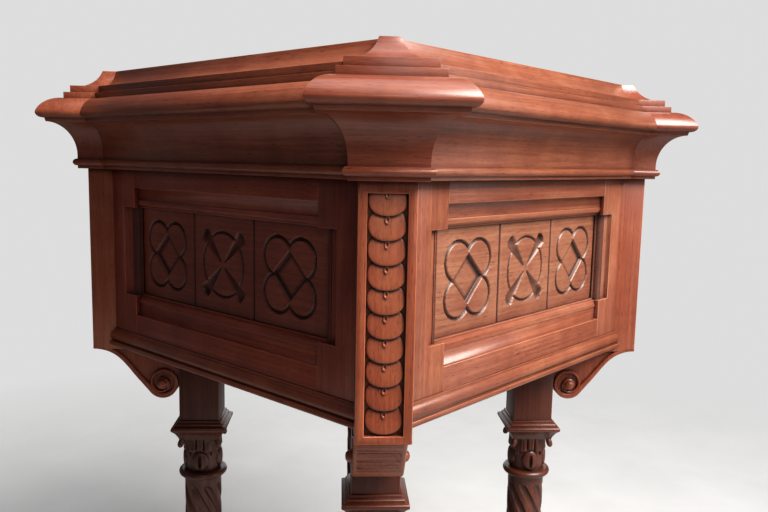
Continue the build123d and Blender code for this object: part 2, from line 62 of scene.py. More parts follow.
MM = 0.001
UP = Vector((0, 0, 1))
SIDES = {"front": -90, "right": 0, "back": 90, "left": 180}
CORNERS = {"front_right": -45, "back_right": 45, "back_left": 135, "front_left": 225}
nodes = frame["nodes"]
body_of = {node: body for body, held in frame["record"]["behaviour"]["bodies"].items() for node in held}
slot_of = {row["node"]: row["material_slot"] for row in frame["record"]["subparts"]}
print("boards and fittings from the joiner:", len(nodes))


def heading(angle):
    """Unit vector on plan, turned this many degrees from +X."""
    return Vector((math.cos(math.radians(angle)), math.sin(math.radians(angle)), 0))


# %% [markdown]
# ## Where things are
# The heights and widths come from the frame, so nothing here has to be fitted. A
# post's box gives the case's foot and the seat of the lid. A leg stands where its
# own box is centred.

# %% Read the main places from the frame
case_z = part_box("post_front_right")[0].z
seat_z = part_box("post_front_right")[1].z
top_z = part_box("top_board")[1].z
board_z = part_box("top_board")[0].z
board_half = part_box("top_board")[1].x
case_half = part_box("right_stiles")[1].x
frame_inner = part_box("right_stiles")[0].x
panel_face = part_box("right_panel")[1].x
panel_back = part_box("right_panel")[0].x
post_half = 23 * MM
post_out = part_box("post_front_right")[1].x * math.sqrt(2) - post_half
post_in = post_out - 58 * MM
leg_out = math.hypot(*[(a + b) / 2 for a, b in zip(*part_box("foot_front_right"))][:2])
print("case", round(case_z, 3), "seat", round(seat_z, 3), "top", round(top_z, 3), "post", round(post_out, 4))
print("leg axis", round(leg_out, 4))

# %% [markdown]
# ## Walnut under varnish
# Wood is a solid texture: a board is cut out of a block of rings and pores. So the
# material reads a coordinate that each board carries in a point attribute named
# grain, whose first number runs along the board. One material then serves boards
# that lie along X, along Y, upright or across a corner, and each board is cut from
# its own place in the tree. The bevelled edges carry a second attribute, wear,
# where the varnish has rubbed thin. Close corners get painted shade: a short ambient
# occlusion darkens them. Another attribute paints shade into the hollows of the
# carving, under the lips of the scales and in the ends of the ovolo, and makes the
# varnish duller there. One more paints the sheen of the lit side onto the pieces of
# the right side, as a paler, yellower brown. Pores and rings lift the surface.


# %% Small helpers for node trees
def add_node(tree, kind, **settings):
    """One node of this kind, with attributes and input defaults set by name."""
    made = tree.nodes.new(kind)
    for key, value in settings.items():
        if hasattr(made, key):
            setattr(made, key, value)
        else:
            made.inputs[key.replace("_", " ")].default_value = value
    return made


def join(tree, start, end):
    """Link an output socket to an input socket."""
    tree.links.new(start, end)


def calc(tree, operation, *values):
    """Math node on sockets or plain numbers; gives its output."""
    made = tree.nodes.new("ShaderNodeMath")
    made.operation = operation
    for socket, value in zip(made.inputs, values):
        if isinstance(value, bpy.types.NodeSocket):
            join(tree, value, socket)
        else:
            socket.default_value = value
    return made.outputs[0]


def ramp(tree, factor, stops):
    """Colour ramp through (place, colour) stops, driven by a socket."""
    made = tree.nodes.new("ShaderNodeValToRGB")
    bar = made.color_ramp
    while len(bar.elements) < len(stops):
        bar.elements.new(0.5)
    for element, (place, colour) in zip(bar.elements, stops):
        element.position = place
        element.color = (*colour, 1)
    join(tree, factor, made.inputs["Fac"])
    return made.outputs["Color"]


def grey(value):
    return (value, value, value)


def mix_colour(tree, blend, factor, first, second):
    """Mix two colours; factor, first and second are sockets or plain values."""
    made = tree.nodes.new("ShaderNodeMix")
    made.data_type = "RGBA"
    made.blend_type = blend
    for socket, value in ((made.inputs[0], factor), (made.inputs[6], first), (made.inputs[7], second)):
        if isinstance(value, bpy.types.NodeSocket):
            join(tree, value, socket)
        else:
            socket.default_value = value if isinstance(value, float) else (*value, 1)
    return made.outputs[2]


def scaled_noise(tree, vector, stretch, detail=3.0, roughness=0.5, distortion=0.0):
    """Noise on a coordinate stretched by three factors, in cycles per metre."""
    mapping = add_node(tree, "ShaderNodeMapping")
    mapping.inputs["Scale"].default_value = stretch
    join(tree, vector, mapping.inputs["Vector"])
    noise = add_node(tree, "ShaderNodeTexNoise", Scale=1.0, Detail=detail, Roughness=roughness, Distortion=distortion)
    join(tree, mapping.outputs["Vector"], noise.inputs["Vector"])
    return noise.outputs["Fac"]


# %% The walnut itself
def walnut(name, dark, middle, light, gloss=0.36, figure=1.0, painted_corner_shade=0.72, painted_sheen_lift=1.6):
    """Figured walnut or mahogany under a satin varnish."""
    made = bpy.data.materials.new(name)
    made.use_nodes = True
    tree = made.node_tree
    shader = tree.nodes["Principled BSDF"]
    grain = add_node(tree, "ShaderNodeAttribute", attribute_name="grain").outputs["Vector"]
    tone = add_node(tree, "ShaderNodeAttribute", attribute_name="tone").outputs["Fac"]
    wear = add_node(tree, "ShaderNodeAttribute", attribute_name="wear").outputs["Fac"]
    painted_shade_and_wax = add_node(tree, "ShaderNodeAttribute", attribute_name="painted_shade_and_wax").outputs["Fac"]
    painted_sheen = add_node(tree, "ShaderNodeAttribute", attribute_name="painted_sheen").outputs["Fac"]
    rings = scaled_noise(tree, grain, (1.6, 26, 26), detail=2.0, distortion=0.6)
    wave = calc(tree, "SINE", calc(tree, "MULTIPLY", rings, 46.0 * figure))
    streaks = scaled_noise(tree, grain, (9, 420, 420), detail=4.0, roughness=0.6)
    patches = scaled_noise(tree, grain, (4, 9, 9), detail=3.0)
    ripple = scaled_noise(tree, grain, (34, 13, 13), detail=2.0)
    lines = calc(tree, "MULTIPLY_ADD", ripple, 0.28, calc(tree, "MULTIPLY", streaks, 0.52))
    figured = calc(tree, "MULTIPLY_ADD", wave, 0.022, lines)
    patched = calc(tree, "MULTIPLY_ADD", patches, 0.60, figured)
    toned = calc(tree, "MULTIPLY_ADD", tone, 0.05, patched)
    wood = ramp(tree, toned, [(0.40, dark), (0.68, middle), (0.96, light)])
    pores = scaled_noise(tree, grain, (110, 1700, 1700), detail=2.0, roughness=0.5)
    pore_mask = ramp(tree, pores, [(0.30, grey(0.35)), (0.43, grey(1.0))])
    pored = mix_colour(tree, "MULTIPLY", 0.8, wood, pore_mask)
    rubbed = calc(tree, "MULTIPLY", wear, scaled_noise(tree, grain, (60, 60, 60), detail=2.0))
    worn = mix_colour(tree, "MIX", rubbed, pored, tuple(min(1.0, 1.35 * c) for c in light))
    # painted sheen: the marked pieces get their green and blue raised, the paler, yellower brown of the lit side
    sheen_lifted = mix_colour(tree, "MULTIPLY", painted_sheen, worn, (1.0, painted_sheen_lift, painted_sheen_lift))
    # painted shade: a short ambient occlusion darkens close corners and recesses
    hollow = add_node(tree, "ShaderNodeAmbientOcclusion", samples=6, Distance=9 * MM)
    shade = ramp(tree, hollow.outputs["AO"], [(0.28, grey(1.0 - painted_corner_shade)), (0.88, grey(1.0))])
    shaded = mix_colour(tree, "MULTIPLY", 1.0, sheen_lifted, shade)
    # painted shade: the marked hollows of the carving, scales and ovolo are darkened; below, the same mark makes the
    # varnish duller
    crevice_shaded = mix_colour(tree, "MULTIPLY", calc(tree, "MULTIPLY", painted_shade_and_wax, 0.9), shaded, (0.16, 0.10, 0.08))
    join(tree, crevice_shaded, shader.inputs["Base Color"])
    rough = add_node(tree, "ShaderNodeMapRange", To_Min=gloss - 0.07, To_Max=gloss + 0.12)
    join(tree, scaled_noise(tree, grain, (25, 90, 90), detail=3.0), rough.inputs["Value"])
    dulled = calc(tree, "MULTIPLY_ADD", painted_shade_and_wax, 0.3, rough.outputs["Result"])
    join(tree, dulled, shader.inputs["Roughness"])
    bump = add_node(tree, "ShaderNodeBump", Strength=0.14, Distance=0.3 * MM)
    join(tree, calc(tree, "MULTIPLY_ADD", streaks, 0.35, pores), bump.inputs["Height"])
    join(tree, bump.outputs["Normal"], shader.inputs["Normal"])
    shader.inputs["Coat Weight"].default_value = 0.32
    shader.inputs["Coat Roughness"].default_value = 0.30
    return made


frame_wood = walnut("frame_walnut", (0.135, 0.020, 0.010), (0.260, 0.050, 0.027), (0.40, 0.105, 0.057))
post_wood = walnut("post_walnut", (0.160, 0.032, 0.015), (0.290, 0.074, 0.034), (0.42, 0.138, 0.066))
panel_wood = walnut("panel_walnut", (0.130, 0.022, 0.011), (0.235, 0.050, 0.028), (0.36, 0.100, 0.057), figure=1.5)
moulding_wood = walnut("moulding_walnut", (0.125, 0.026, 0.013), (0.240, 0.062, 0.032), (0.39, 0.130, 0.068), 0.30,
                       painted_sheen_lift=1.2)
# painted shade: the turned wood's colours are set much darker, standing for the shade the case casts on the legs
# below it
turned_wood = walnut("turned_walnut", (0.048, 0.010, 0.005), (0.100, 0.026, 0.013), (0.19, 0.055, 0.027), painted_corner_shade=0.8)
top_wood = walnut("top_walnut", (0.140, 0.032, 0.014), (0.265, 0.076, 0.036), (0.40, 0.150, 0.076), 0.27)
till_wood = walnut("till_mahogany", (0.16, 0.055, 0.026), (0.33, 0.135, 0.066), (0.50, 0.24, 0.13), gloss=0.45)
inner_wood = walnut("inner_softwood", (0.20, 0.105, 0.050), (0.38, 0.22, 0.115), (0.52, 0.34, 0.19), gloss=0.58)
WOODS = {
    "frame_wood": frame_wood,
    "post_wood": post_wood,
    "panel_wood": panel_wood,
    "moulding_wood": moulding_wood,
    "turned_wood": turned_wood,
    "top_wood": top_wood,
    "till_wood": till_wood,
    "inner_wood": inner_wood,
}
print("woods:", ", ".join(WOODS))

# %% [markdown]
# ## Giving each piece its grain
# A piece's grain attribute is its own coordinates turned so that the first axis runs
# along the board, plus a shift that depends on its name. The shift moves every board
# to another part of the tree, and tone makes one board a shade lighter than its
# neighbour, so joints between boards show as they do on real work. The pieces of the
# right side also carry a painted sheen of the lit side, which makes them a paler,
# yellower brown.


# %% Grain, shading and seating of a finished piece
def lay_grain(mesh, name, along):
    """Write the grain, tone and painted sheen attributes for a board that runs this way."""
    first = Vector(along).normalized()
    second = first.cross(UP if abs(first.z) < 0.9 else Vector((1, 0, 0))).normalized()
    third = first.cross(second)
    points = np.empty(len(mesh.vertices) * 3)
    mesh.vertices.foreach_get("co", points)
    basis = np.array([first, second, third])
    draw = np.random.default_rng(zlib.crc32(name.encode()))
    values = points.reshape(-1, 3) @ basis.T + draw.uniform(-4, 4, 3)
    grain = mesh.attributes.new("grain", "FLOAT_VECTOR", "POINT")
    grain.data.foreach_set("vector", values.astype(np.float32).ravel())
    tone = mesh.attributes.new("tone", "FLOAT", "POINT")
    tone.data.foreach_set("value", np.full(len(mesh.vertices), draw.uniform(-1, 1), np.float32))
    # painted sheen: the pieces of the right side are marked to be made paler and yellower, as lit
    painted_sheen = mesh.attributes.new("painted_sheen", "FLOAT", "POINT")
    painted_sheen.data.foreach_set("value", np.full(len(mesh.vertices), name.startswith("right_"), np.float32))


def seat(name, mesh, finish, along, body, replaced=(), crease=38):
    """Make the object of a finished mesh, with its grain, finish and body."""
    lay_grain(mesh, name, along)
    mesh.materials.clear()
    mesh.materials.append(finish)
    mesh.shade_smooth()
    mesh.set_sharp_from_angle(angle=math.radians(crease))
    piece = bpy.data.objects.new(name, mesh)
    bpy.context.scene.collection.objects.link(piece)
    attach(piece, body)
    if replaced:
        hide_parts(*replaced)
    return piece


def mesh_from(name, points, faces, edge=0.0):
    """A mesh with doubles merged and normals outward; edge is the width of its eased arrises."""
    mesh = bpy.data.meshes.new(name)
    mesh.from_pydata([tuple(p) for p in points], [], [tuple(f) for f in faces])
    work = bmesh.new()
    work.from_mesh(mesh)
    bmesh.ops.remove_doubles(work, verts=work.verts, dist=1e-6)
    bmesh.ops.dissolve_degenerate(work, dist=1e-6, edges=work.edges)
    bmesh.ops.recalc_face_normals(work, faces=work.faces)
    if edge:
        ease(work, edge)
    work.to_mesh(mesh)
    work.free()
    return mesh


def loft(name, rings, edge=0.0):
    """Closed mesh through a stack of rings, all with the same number of points."""
    count = len(rings[0])
    points = [point for ring in rings for point in ring]
    faces = [tuple(range(count)), tuple(range(len(points) - count, len(points)))]
    for level in range(0, len(points) - count, count):
        for i in range(count):
            j = (i + 1) % count
            faces.append((level + i, level + j, level + count + j, level + count + i))
    return mesh_from(name, points, faces, edge)


def merged(name, meshes):
    """One mesh holding several, such as the turned and the square parts of a leg."""
    work = bmesh.new()
    work.faces.layers.float.new("wear")
    for mesh in meshes:
        work.from_mesh(mesh)
        bpy.data.meshes.remove(mesh)
    whole = bpy.data.meshes.new(name)
    work.to_mesh(whole)
    work.free()
    return whole


def turned_by(mesh, angle, out=0.0, up=0.0):
    """Move a mesh out and up, then turn it on plan; gives the same mesh."""
    mesh.transform(Matrix.Rotation(math.radians(angle), 4, "Z") @ Matrix.Translation((out, 0, up)))
    return mesh


# %% [markdown]
# ## Taking off the knife edge
# No real board has a perfectly sharp edge: it is eased with a block, then a century
# of hands rounds it further, and the light catches there. Each plain board is a copy
# of the joiner's mesh, merged, its flat triangles dissolved to whole faces, and its
# outside edges bevelled by well under a millimetre. The bevel faces are marked as
# worn. The concave edges, where two pieces meet, stay crisp and dark.


# %% Ease a board
def ease(work, width, steps=2, angle=28):
    """Bevel the convex edges of a bmesh and mark the bevels as worn."""
    sharp = [
        e for e in work.edges
        if len(e.link_faces) == 2 and e.is_convex and e.calc_face_angle(0) > math.radians(angle)
    ]
    wear = work.faces.layers.float.new("wear")
    made = bmesh.ops.bevel(
        work, geom=sharp, offset=width, offset_type="OFFSET", segments=steps, profile=0.5,
        affect="EDGES", clamp_overlap=True,
    )
    for face in made["faces"]:
        face[wear] = 1.0


def joiner_copy(node):
    """The joiner's mesh as a bmesh of whole faces, merged and without triangles."""
    work = bmesh.new()
    work.from_mesh(nodes[node].data)
    bmesh.ops.remove_doubles(work, verts=work.verts, dist=1e-6)
    bmesh.ops.dissolve_limit(
        work, angle_limit=math.radians(0.4), verts=work.verts, edges=work.edges, use_dissolve_boundaries=False
    )
    return work


def eased(node, width=0.6 * MM):
    """A copy of a joiner's board with its edges taken off."""
    work = joiner_copy(node)
    ease(work, width)
    mesh = bpy.data.meshes.new(node + "_eased")
    work.to_mesh(mesh)
    work.free()
    return mesh


# %% Ease every plain board
def board_direction(node):
    """The way a board's grain runs: along its length, or upright."""
    if node.startswith(("post_", "foot_", "leg_")) or node.endswith("_stiles"):
        return UP
    if node.startswith("stretcher_"):
        return heading(45 if node == "stretcher_lower" else -45)
    if node in ("till_sides", "till_dividers", "till_bottom"):
        return Vector((0, 1, 0))
    side = node.split("_")[0]
    if side in SIDES:
        return heading(SIDES[side] + 90)
    return Vector((1, 0, 0))


plain = [n for n in nodes if n.endswith(("_stiles", "_rail"))]
plain += [n for n in nodes if n.startswith("post_")]
plain += ["case_bottom", "till_runners", "top_board", "stretcher_lower", "stretcher_upper"]
plain += ["till_sides", "till_ends", "till_bottom", "till_dividers"]
for node in sorted(plain):
    finish = WOODS[slot_of[node]]
    seat(node + "_board", eased(node), finish, board_direction(node), body_of[node], [node])
print("boards eased:", len(plain))

# %% [markdown]
# ## The cornice
# A cornice like this was worked with hollow and round planes: a bead at its foot, a
# deep hollow, a thumb moulding over it and two square steps. Each moulding here is a
# stack of plan outlines, one for every height in the section. A side length ends on
# the slanting faces of the corner capitals, so the mitres close by themselves; a
# capital is the same section wrapped round the three open sides of a post.


# %% The section of the cornice
def arc(first, through, last, steps=8):
    """Points on the circle through three points, from the first to the last."""
    a, b, c = (Vector((*p, 0)) for p in (first, through, last))
    normal = (b - a).cross(c - a)
    ab, ac = b - a, c - a
    centre = a + (ac.length_squared * normal.cross(ab) + ab.length_squared * ac.cross(normal)) / (
        2 * normal.length_squared
    )
    angles = [math.atan2(p.y - centre.y, p.x - centre.x) for p in (a, b, c)]
    way = 1 if normal.z > 0 else -1
    sweep = (way * (angles[2] - angles[0])) % (2 * math.pi)
    radius = (a - centre).length
    turns = [angles[0] + way * sweep * i / steps for i in range(steps + 1)]
    return [(centre.x + radius * math.cos(t), centre.y + radius * math.sin(t)) for t in turns]


hollow = [(32.5 - 24.2 * math.cos(t), 15 + 35 * math.sin(t)) for t in np.linspace(0, math.pi / 2, 15)]
section = [(8.3, 0.0)] + arc((8.3, 3.2), (12.4, 7.0), (8.3, 10.8), 10) + hollow + [(33.5, 54.0)]
section += arc((33.5, 54.0), (39.2, 55.8), (40.4, 60.0), 5)[1:]
section += arc((40.4, 60.0), (34.41, 69.6), (19.0, 76.0), 12)[1:]
section += [(18.0, 76.0), (18.0, 82.5), (12.6, 82.5), (12.6, 90.0)]
section += arc((3.7, 90.0), (-9.0, 98.6), (-14.5, 109.0), 10)
section = [(out * MM, up * MM) for out, up in section]
side_shift = 2.3 * MM
board_low = board_z - seat_z
print("points in the cornice section:", len(section), "depth", round(section[-1][1], 3))


# %% Lengths and capitals
def with_board(rows):
    """Rows of (out, up, under the board?), with the row where the board's seat starts doubled."""
    done = []
    for (out, up), (next_out, next_up) in zip(rows, rows[1:] + [rows[-1]]):
        done.append((out, up, up > board_low))
        if up < board_low < next_up:
            between = out + (next_out - out) * (board_low - up) / (next_up - up)
            done += [(between, board_low, False), (between, board_low, True)]
    return done


def cornice_length(name):
    """One side length, with its face along +X, cut to the capitals at both ends."""
    rings = []
    for out, up, rebated in with_board(section):
        inner = board_half if rebated else frame_inner
        back = post_in * math.sqrt(2)
        reach = math.sqrt(2) * (post_half + out)
        face = case_half + side_shift + out
        knee = max((back + reach) / 2, inner)
        half = [(inner, max(inner - reach, back - inner)), (knee, knee - reach), (face, face - reach)]
        ring = half + [(x, -y) for x, y in reversed(half)]
        rings.append([(x, y, seat_z + up) for x, y in ring])
    return loft(name, rings, 0.5 * MM)


def capital(name):
    """One corner capital, with its face along +X."""
    rings = []
    for out, up, rebated in with_board(section):
        half = post_half + out
        notch = board_half * math.sqrt(2)
        inner = notch - half if rebated else post_in
        middle = notch if rebated else post_in
        face = post_out + out
        ring = [(inner, half), (face, half), (face, -half), (inner, -half), (middle, 0)]
        rings.append([(x, y, seat_z + up) for x, y in ring])
    return loft(name, rings, 0.5 * MM)


for side in ("front", "right", "left"):
    node = side + "_cornice"
    mesh = turned_by(cornice_length(node), SIDES[side])
    seat(node + "_length", mesh, moulding_wood, board_direction(node), "lid", [node])
seat("back_cornice_length", eased("back_cornice", 0.5 * MM), moulding_wood, (1, 0, 0), "lid",
     ["back_cornice"])
for corner, angle in CORNERS.items():
    node = "cornice_block_" + corner
    mesh = turned_by(capital(node), angle)
    seat(node + "_capital", mesh, moulding_wood, heading(angle + 90), "lid", [node])
print("mouldings of the lid: 4 lengths and 4 capitals")

# %% [markdown]
# ## The moulding round the foot of the case
# A planted moulding hides the joint under the frames: a flat lip at the bottom, a
# quirk, and a round above it that dies into the frame. It runs from post to post.


# %% Base mouldings
base_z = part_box("right_base_moulding")[0].z
base = [(4.6, 0.0), (5.2, 0.4), (5.5, 1.2), (5.5, 3.9), (5.1, 4.8), (3.6, 5.2), (2.9, 6.0), (4.0, 7.2)]
base += arc((4.0, 7.2), (4.7, 12.6), (2.2, 17.4), 10)[1:] + [(1.2, 18.0), (1.2, 19.8)]
for side, angle in SIDES.items():
    node = side + "_base_moulding"
    rings = []
    for out, up in base:
        face, back = case_half + out * MM, case_half - 0.5 * MM
        reach = math.sqrt(2) * post_half
        half = [(back, back - reach), (face, face - reach)]
        rings.append([(x, y, base_z + up * MM) for x, y in half + [(x, -y) for x, y in reversed(half)]])
    mesh = turned_by(loft(node, rings, 0.3 * MM), angle)
    seat(node + "_length", mesh, moulding_wood, board_direction(node), "case", [node])
print("base mouldings:", len(SIDES))

# %% [markdown]
# ## The carved panels
# A panel is flat work with the pattern sunk into it, cut with a V tool and gouges, so
# it is a height field: for every point of the board, how deep the tool went. Three
# squares are parted by V grooves. The outer squares carry the outline of four
# crossing lobes round a sunk diamond; the middle one has a ring and four gouged
# petals that deepen towards their round ends.


# %% The tools of the carver
def cut_line(distance, width, depth):
    """Depth left by a round-nosed V tool, by distance from its line."""
    return depth * np.clip(1 - (2 * distance / width) ** 2, 0, 1) ** 0.6


def sunk(inside, wall, depth):
    """Depth of a sunk field, by distance inside its outline; wall is the width of its slope."""
    slope = np.clip(inside / wall, 0, 1)
    return depth * slope * slope * (3 - 2 * slope)


def lobes(u, v):
    """Outline of four crossing lobes round a sunk diamond, about the middle of a square."""
    nearest = np.full(u.shape, np.inf)
    for across in (-15.8, 15.8):
        for up in (-16.9, 16.9):
            reach = np.hypot((u - across) / 19.2, (v - up) / 18.4)
            nearest = np.minimum(nearest, (reach - 1) * 18.8)
    outline = cut_line(np.abs(nearest), 3.4, 2.4)
    inside = (1 - np.abs(u) / 24.5 - np.abs(v) / 24.0) * 17.1
    floor = 0.7 * np.clip(inside / 18, 0, 1)
    return np.maximum(outline, sunk(inside, 1.2, 3.6) - floor * (inside > 1.2))


ring_radius = 32.2
petal_start, petal_round, petal_end = 4, 40.0, 44.7     # along a petal, in millimetres


def petals(u, v):
    """A ring crossed by four gouged petals."""
    deep = cut_line(np.abs(np.hypot(u, v) - ring_radius), 2.8, 2.0)
    for turn in (1, -1):
        for way in (1, -1):
            along = way * (u + turn * v) / math.sqrt(2)
            aside = (u - turn * v) / math.sqrt(2)
            run = np.clip((along - petal_start) / (petal_end - petal_start), 0, 1)
            width = 0.8 + 7.2 * run ** 0.9
            end = np.clip((along - petal_round) / (petal_end - petal_round), 0, 1)
            half = width * np.sqrt(np.clip(1 - end ** 2, 0, 1)) + 1e-6
            trough = (1 - (aside / half) ** 2) * (along > petal_start) * (along < petal_end)
            deep = np.maximum(deep, (1.2 + 2.6 * run) * np.clip(trough, 0, 1) ** 0.5)
    return deep


# %% Carve the four panels
tongue = 5 * MM            # edge of a panel that is hidden in the frame's groove
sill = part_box("right_panel")[0].z + tongue
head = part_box("right_panel")[1].z - tongue
panel_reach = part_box("right_panel")[1].y
middle_z = (sill + head) / 2
print("panel opening", round(head - sill, 4), "reach", round(panel_reach, 4))


square_pitch, groove_line = 99, 48.5    # millimetres from the panel's middle


def spread_out(field, reach):
    """The field averaged over a square of this many cells on each side."""
    kernel = np.ones(2 * reach + 1) / (2 * reach + 1)
    for axis in (0, 1):
        padded = np.pad(field, [(reach, reach) if i == axis else (0, 0) for i in (0, 1)], mode="edge")
        field = np.apply_along_axis(np.convolve, axis, padded, kernel, mode="valid")
    return field


def carved_panel(name, slip=0.0, pitch=0.8):
    """One carved panel with its face along +X, closed behind; slip moves the carving along it."""
    across = np.linspace(-panel_reach / MM, panel_reach / MM, int(2 * panel_reach / MM / pitch) + 1)
    low, high = (sill - tongue - middle_z) / MM, (head + tongue - middle_z) / MM
    up = np.linspace(low, high, int((high - low) / pitch) + 1)
    u, v = np.meshgrid(across, up, indexing="ij")
    u = u - slip
    deep = np.maximum(lobes(u + square_pitch, v), lobes(u - square_pitch, v))
    deep = np.maximum(deep, petals(u, v))
    for line in (-groove_line, groove_line):
        deep = np.maximum(deep, np.clip(2.0 - np.abs(u - line), 0, 2))
    deep += 0.10 + 0.06 * np.sin(u * 0.11 + 1.3) * np.sin(v * 0.17)
    front = np.stack([panel_face - deep * MM, (u + slip) * MM, middle_z + v * MM], axis=-1)
    rows, columns = u.shape
    grid = np.arange(rows * columns).reshape(rows, columns)
    quads = np.stack([grid[:-1, :-1], grid[1:, :-1], grid[1:, 1:], grid[:-1, 1:]], axis=-1).reshape(-1, 4)
    rim = np.concatenate([grid[:-1, 0], grid[-1, :-1], grid[:0:-1, -1], grid[0, :0:-1]])
    back = front.reshape(-1, 3)[rim].copy()
    back[:, 0] = panel_back
    count, start = len(rim), rows * columns
    behind = start + np.arange(count)
    walls = np.stack([rim, behind, np.roll(behind, -1), np.roll(rim, -1)], axis=-1)
    points = np.concatenate([front.reshape(-1, 3), back])
    faces = quads.tolist() + walls.tolist() + [behind.tolist()]
    mesh = mesh_from(name, points.tolist(), faces)
    # painted shade: the bottoms of the cuts, deeper than their surroundings, are marked to be darkened
    groove_shade = np.clip((deep - spread_out(deep, 6)) / 0.8, 0, 1) ** 0.6
    painted_shade_and_wax = mesh.attributes.new("painted_shade_and_wax", "FLOAT", "POINT")
    painted_shade_and_wax.data.foreach_set("value", np.concatenate([groove_shade.ravel(), np.zeros(count)]).astype(np.float32))
    return mesh


hand_slip = {"front": -4.0, "right": 3.0}     # millimetres the carver's marking out is off the middle
for side, angle in SIDES.items():
    node = side + "_panel"
    mesh = turned_by(carved_panel(node, hand_slip.get(side, 0.0)), angle)
    seat(node + "_carved", mesh, panel_wood, board_direction(node), "case", [node], crease=60)
    print(node, "faces", len(mesh.polygons))

# %% [markdown]
# ## The moulding in the frame's opening
# The frame slopes from its sunk margin down to the panel, and a small ovolo is stuck
# on that slope all the way round, mitred at the corners. It is one closed ring: a
# section taken round the rectangle of the opening, which gives the mitres. Its low
# quirk gets painted shade, and its two upright ends nearly as much.


# %% An ovolo round each opening
opening_half = 150 * MM
ovolo = [(-0.9, 0.3), (-0.9, 1.7), (0.2, 2.6)]
ovolo += arc((0.9, 2.6), (3.0, 6.8), (7.6, 8.7), 8)
ovolo += [(8.4, 8.7), (8.4, 7.0), (3.0, 0.3)]


def opening_ring(name):
    """Ovolo round an opening whose frame looks along +X."""
    rings = []
    for out, rise in ovolo:
        y = opening_half + out * MM
        low, high = sill - out * MM, head + out * MM
        rings.append([(panel_face + rise * MM, *p) for p in ((-y, low), (y, low), (y, high), (-y, high))])
    points = [p for ring in rings for p in ring]
    faces = []
    for level in range(len(rings)):
        after = (level + 1) % len(rings)
        for i in range(4):
            j = (i + 1) % 4
            faces.append((4 * level + i, 4 * level + j, 4 * after + j, 4 * after + i))
    mesh = mesh_from(name, points, faces, 0.3 * MM)
    # painted shade: the low quirk and the upright ends are marked to be darkened
    painted_shade_and_wax = mesh.attributes.new("painted_shade_and_wax", "FLOAT", "CORNER")
    for face in mesh.polygons:
        at_end = abs(face.normal.y) > abs(face.normal.z) + 0.1
        low = face.center.x < panel_face + 2.0 * MM
        for corner in face.loop_indices:
            painted_shade_and_wax.data[corner].value = 1.0 if low else 0.85 * at_end
    return mesh


for side, angle in SIDES.items():
    mesh = turned_by(opening_ring(side + "_opening"), angle)
    seat(side + "_opening_ovolo", mesh, frame_wood, heading(angle + 90), "case")
print("ovolo rings:", len(SIDES))

# %% [markdown]
# ## Scales down the posts
# The channel of each post holds ten overlapping discs, each tilted so that its lower
# edge stands over the one beneath. A small ring like a drop hides under each edge.
# One scale is modelled; a node group repeats it up the post at a fixed pitch, so
# count and pitch are the only numbers to change for a longer post.


# %% Node groups and how they are run
def new_group(name, sockets):
    """Geometry node group with a Geometry input, these inputs, and a Finish material."""
    group = bpy.data.node_groups.new(name, "GeometryNodeTree")
    group.interface.new_socket("Geometry", in_out="INPUT", socket_type="NodeSocketGeometry")
    for label, kind in sockets.items():
        group.interface.new_socket(label, in_out="INPUT", socket_type=kind)
    group.interface.new_socket("Finish", in_out="INPUT", socket_type="NodeSocketMaterial")
    group.interface.new_socket("Geometry", in_out="OUTPUT", socket_type="NodeSocketGeometry")
    start = group.nodes.new("NodeGroupInput")
    return group, {socket.name: socket for socket in start.outputs if socket.name}


def close_group(group, shape, inputs):
    """End a group in Realize Instances and Set Material."""
    real = group.nodes.new("GeometryNodeRealizeInstances")
    paint = group.nodes.new("GeometryNodeSetMaterial")
    join(group, shape, real.inputs["Geometry"])
    join(group, real.outputs[0], paint.inputs["Geometry"])
    join(group, inputs["Finish"], paint.inputs["Material"])
    join(group, paint.outputs[0], group.nodes.new("NodeGroupOutput").inputs["Geometry"])


def run_group(mesh, group, values):
    """The plain mesh that a group makes of this mesh with these named inputs."""
    holder = bpy.data.objects.new("holder", mesh)
    bpy.context.scene.collection.objects.link(holder)
    rule = holder.modifiers.new("rule", "NODES")
    rule.node_group = group
    for item in group.interface.items_tree:
        if item.item_type == "SOCKET" and item.in_out == "INPUT" and item.name in values:
            rule[item.identifier] = values[item.name]
    made = bpy.data.meshes.new_from_object(holder.evaluated_get(bpy.context.evaluated_depsgraph_get()))
    holder.modifiers.clear()
    bpy.data.objects.remove(holder)
    return made


def repeat_group():
    """Repeats the geometry along a line: Count times, Step apart."""
    group, inputs = new_group("repeat_on_line", {"Count": "NodeSocketInt", "Step": "NodeSocketVector"})
    line = group.nodes.new("GeometryNodeMeshLine")
    place = group.nodes.new("GeometryNodeInstanceOnPoints")
    join(group, inputs["Count"], line.inputs["Count"])
    join(group, inputs["Step"], line.inputs["Offset"])
    join(group, line.outputs[0], place.inputs["Points"])
    join(group, inputs["Geometry"], place.inputs["Instance"])
    close_group(group, place.outputs[0], inputs)
    return group


repeat_on_line = repeat_group()
print("node group:", repeat_on_line.name)


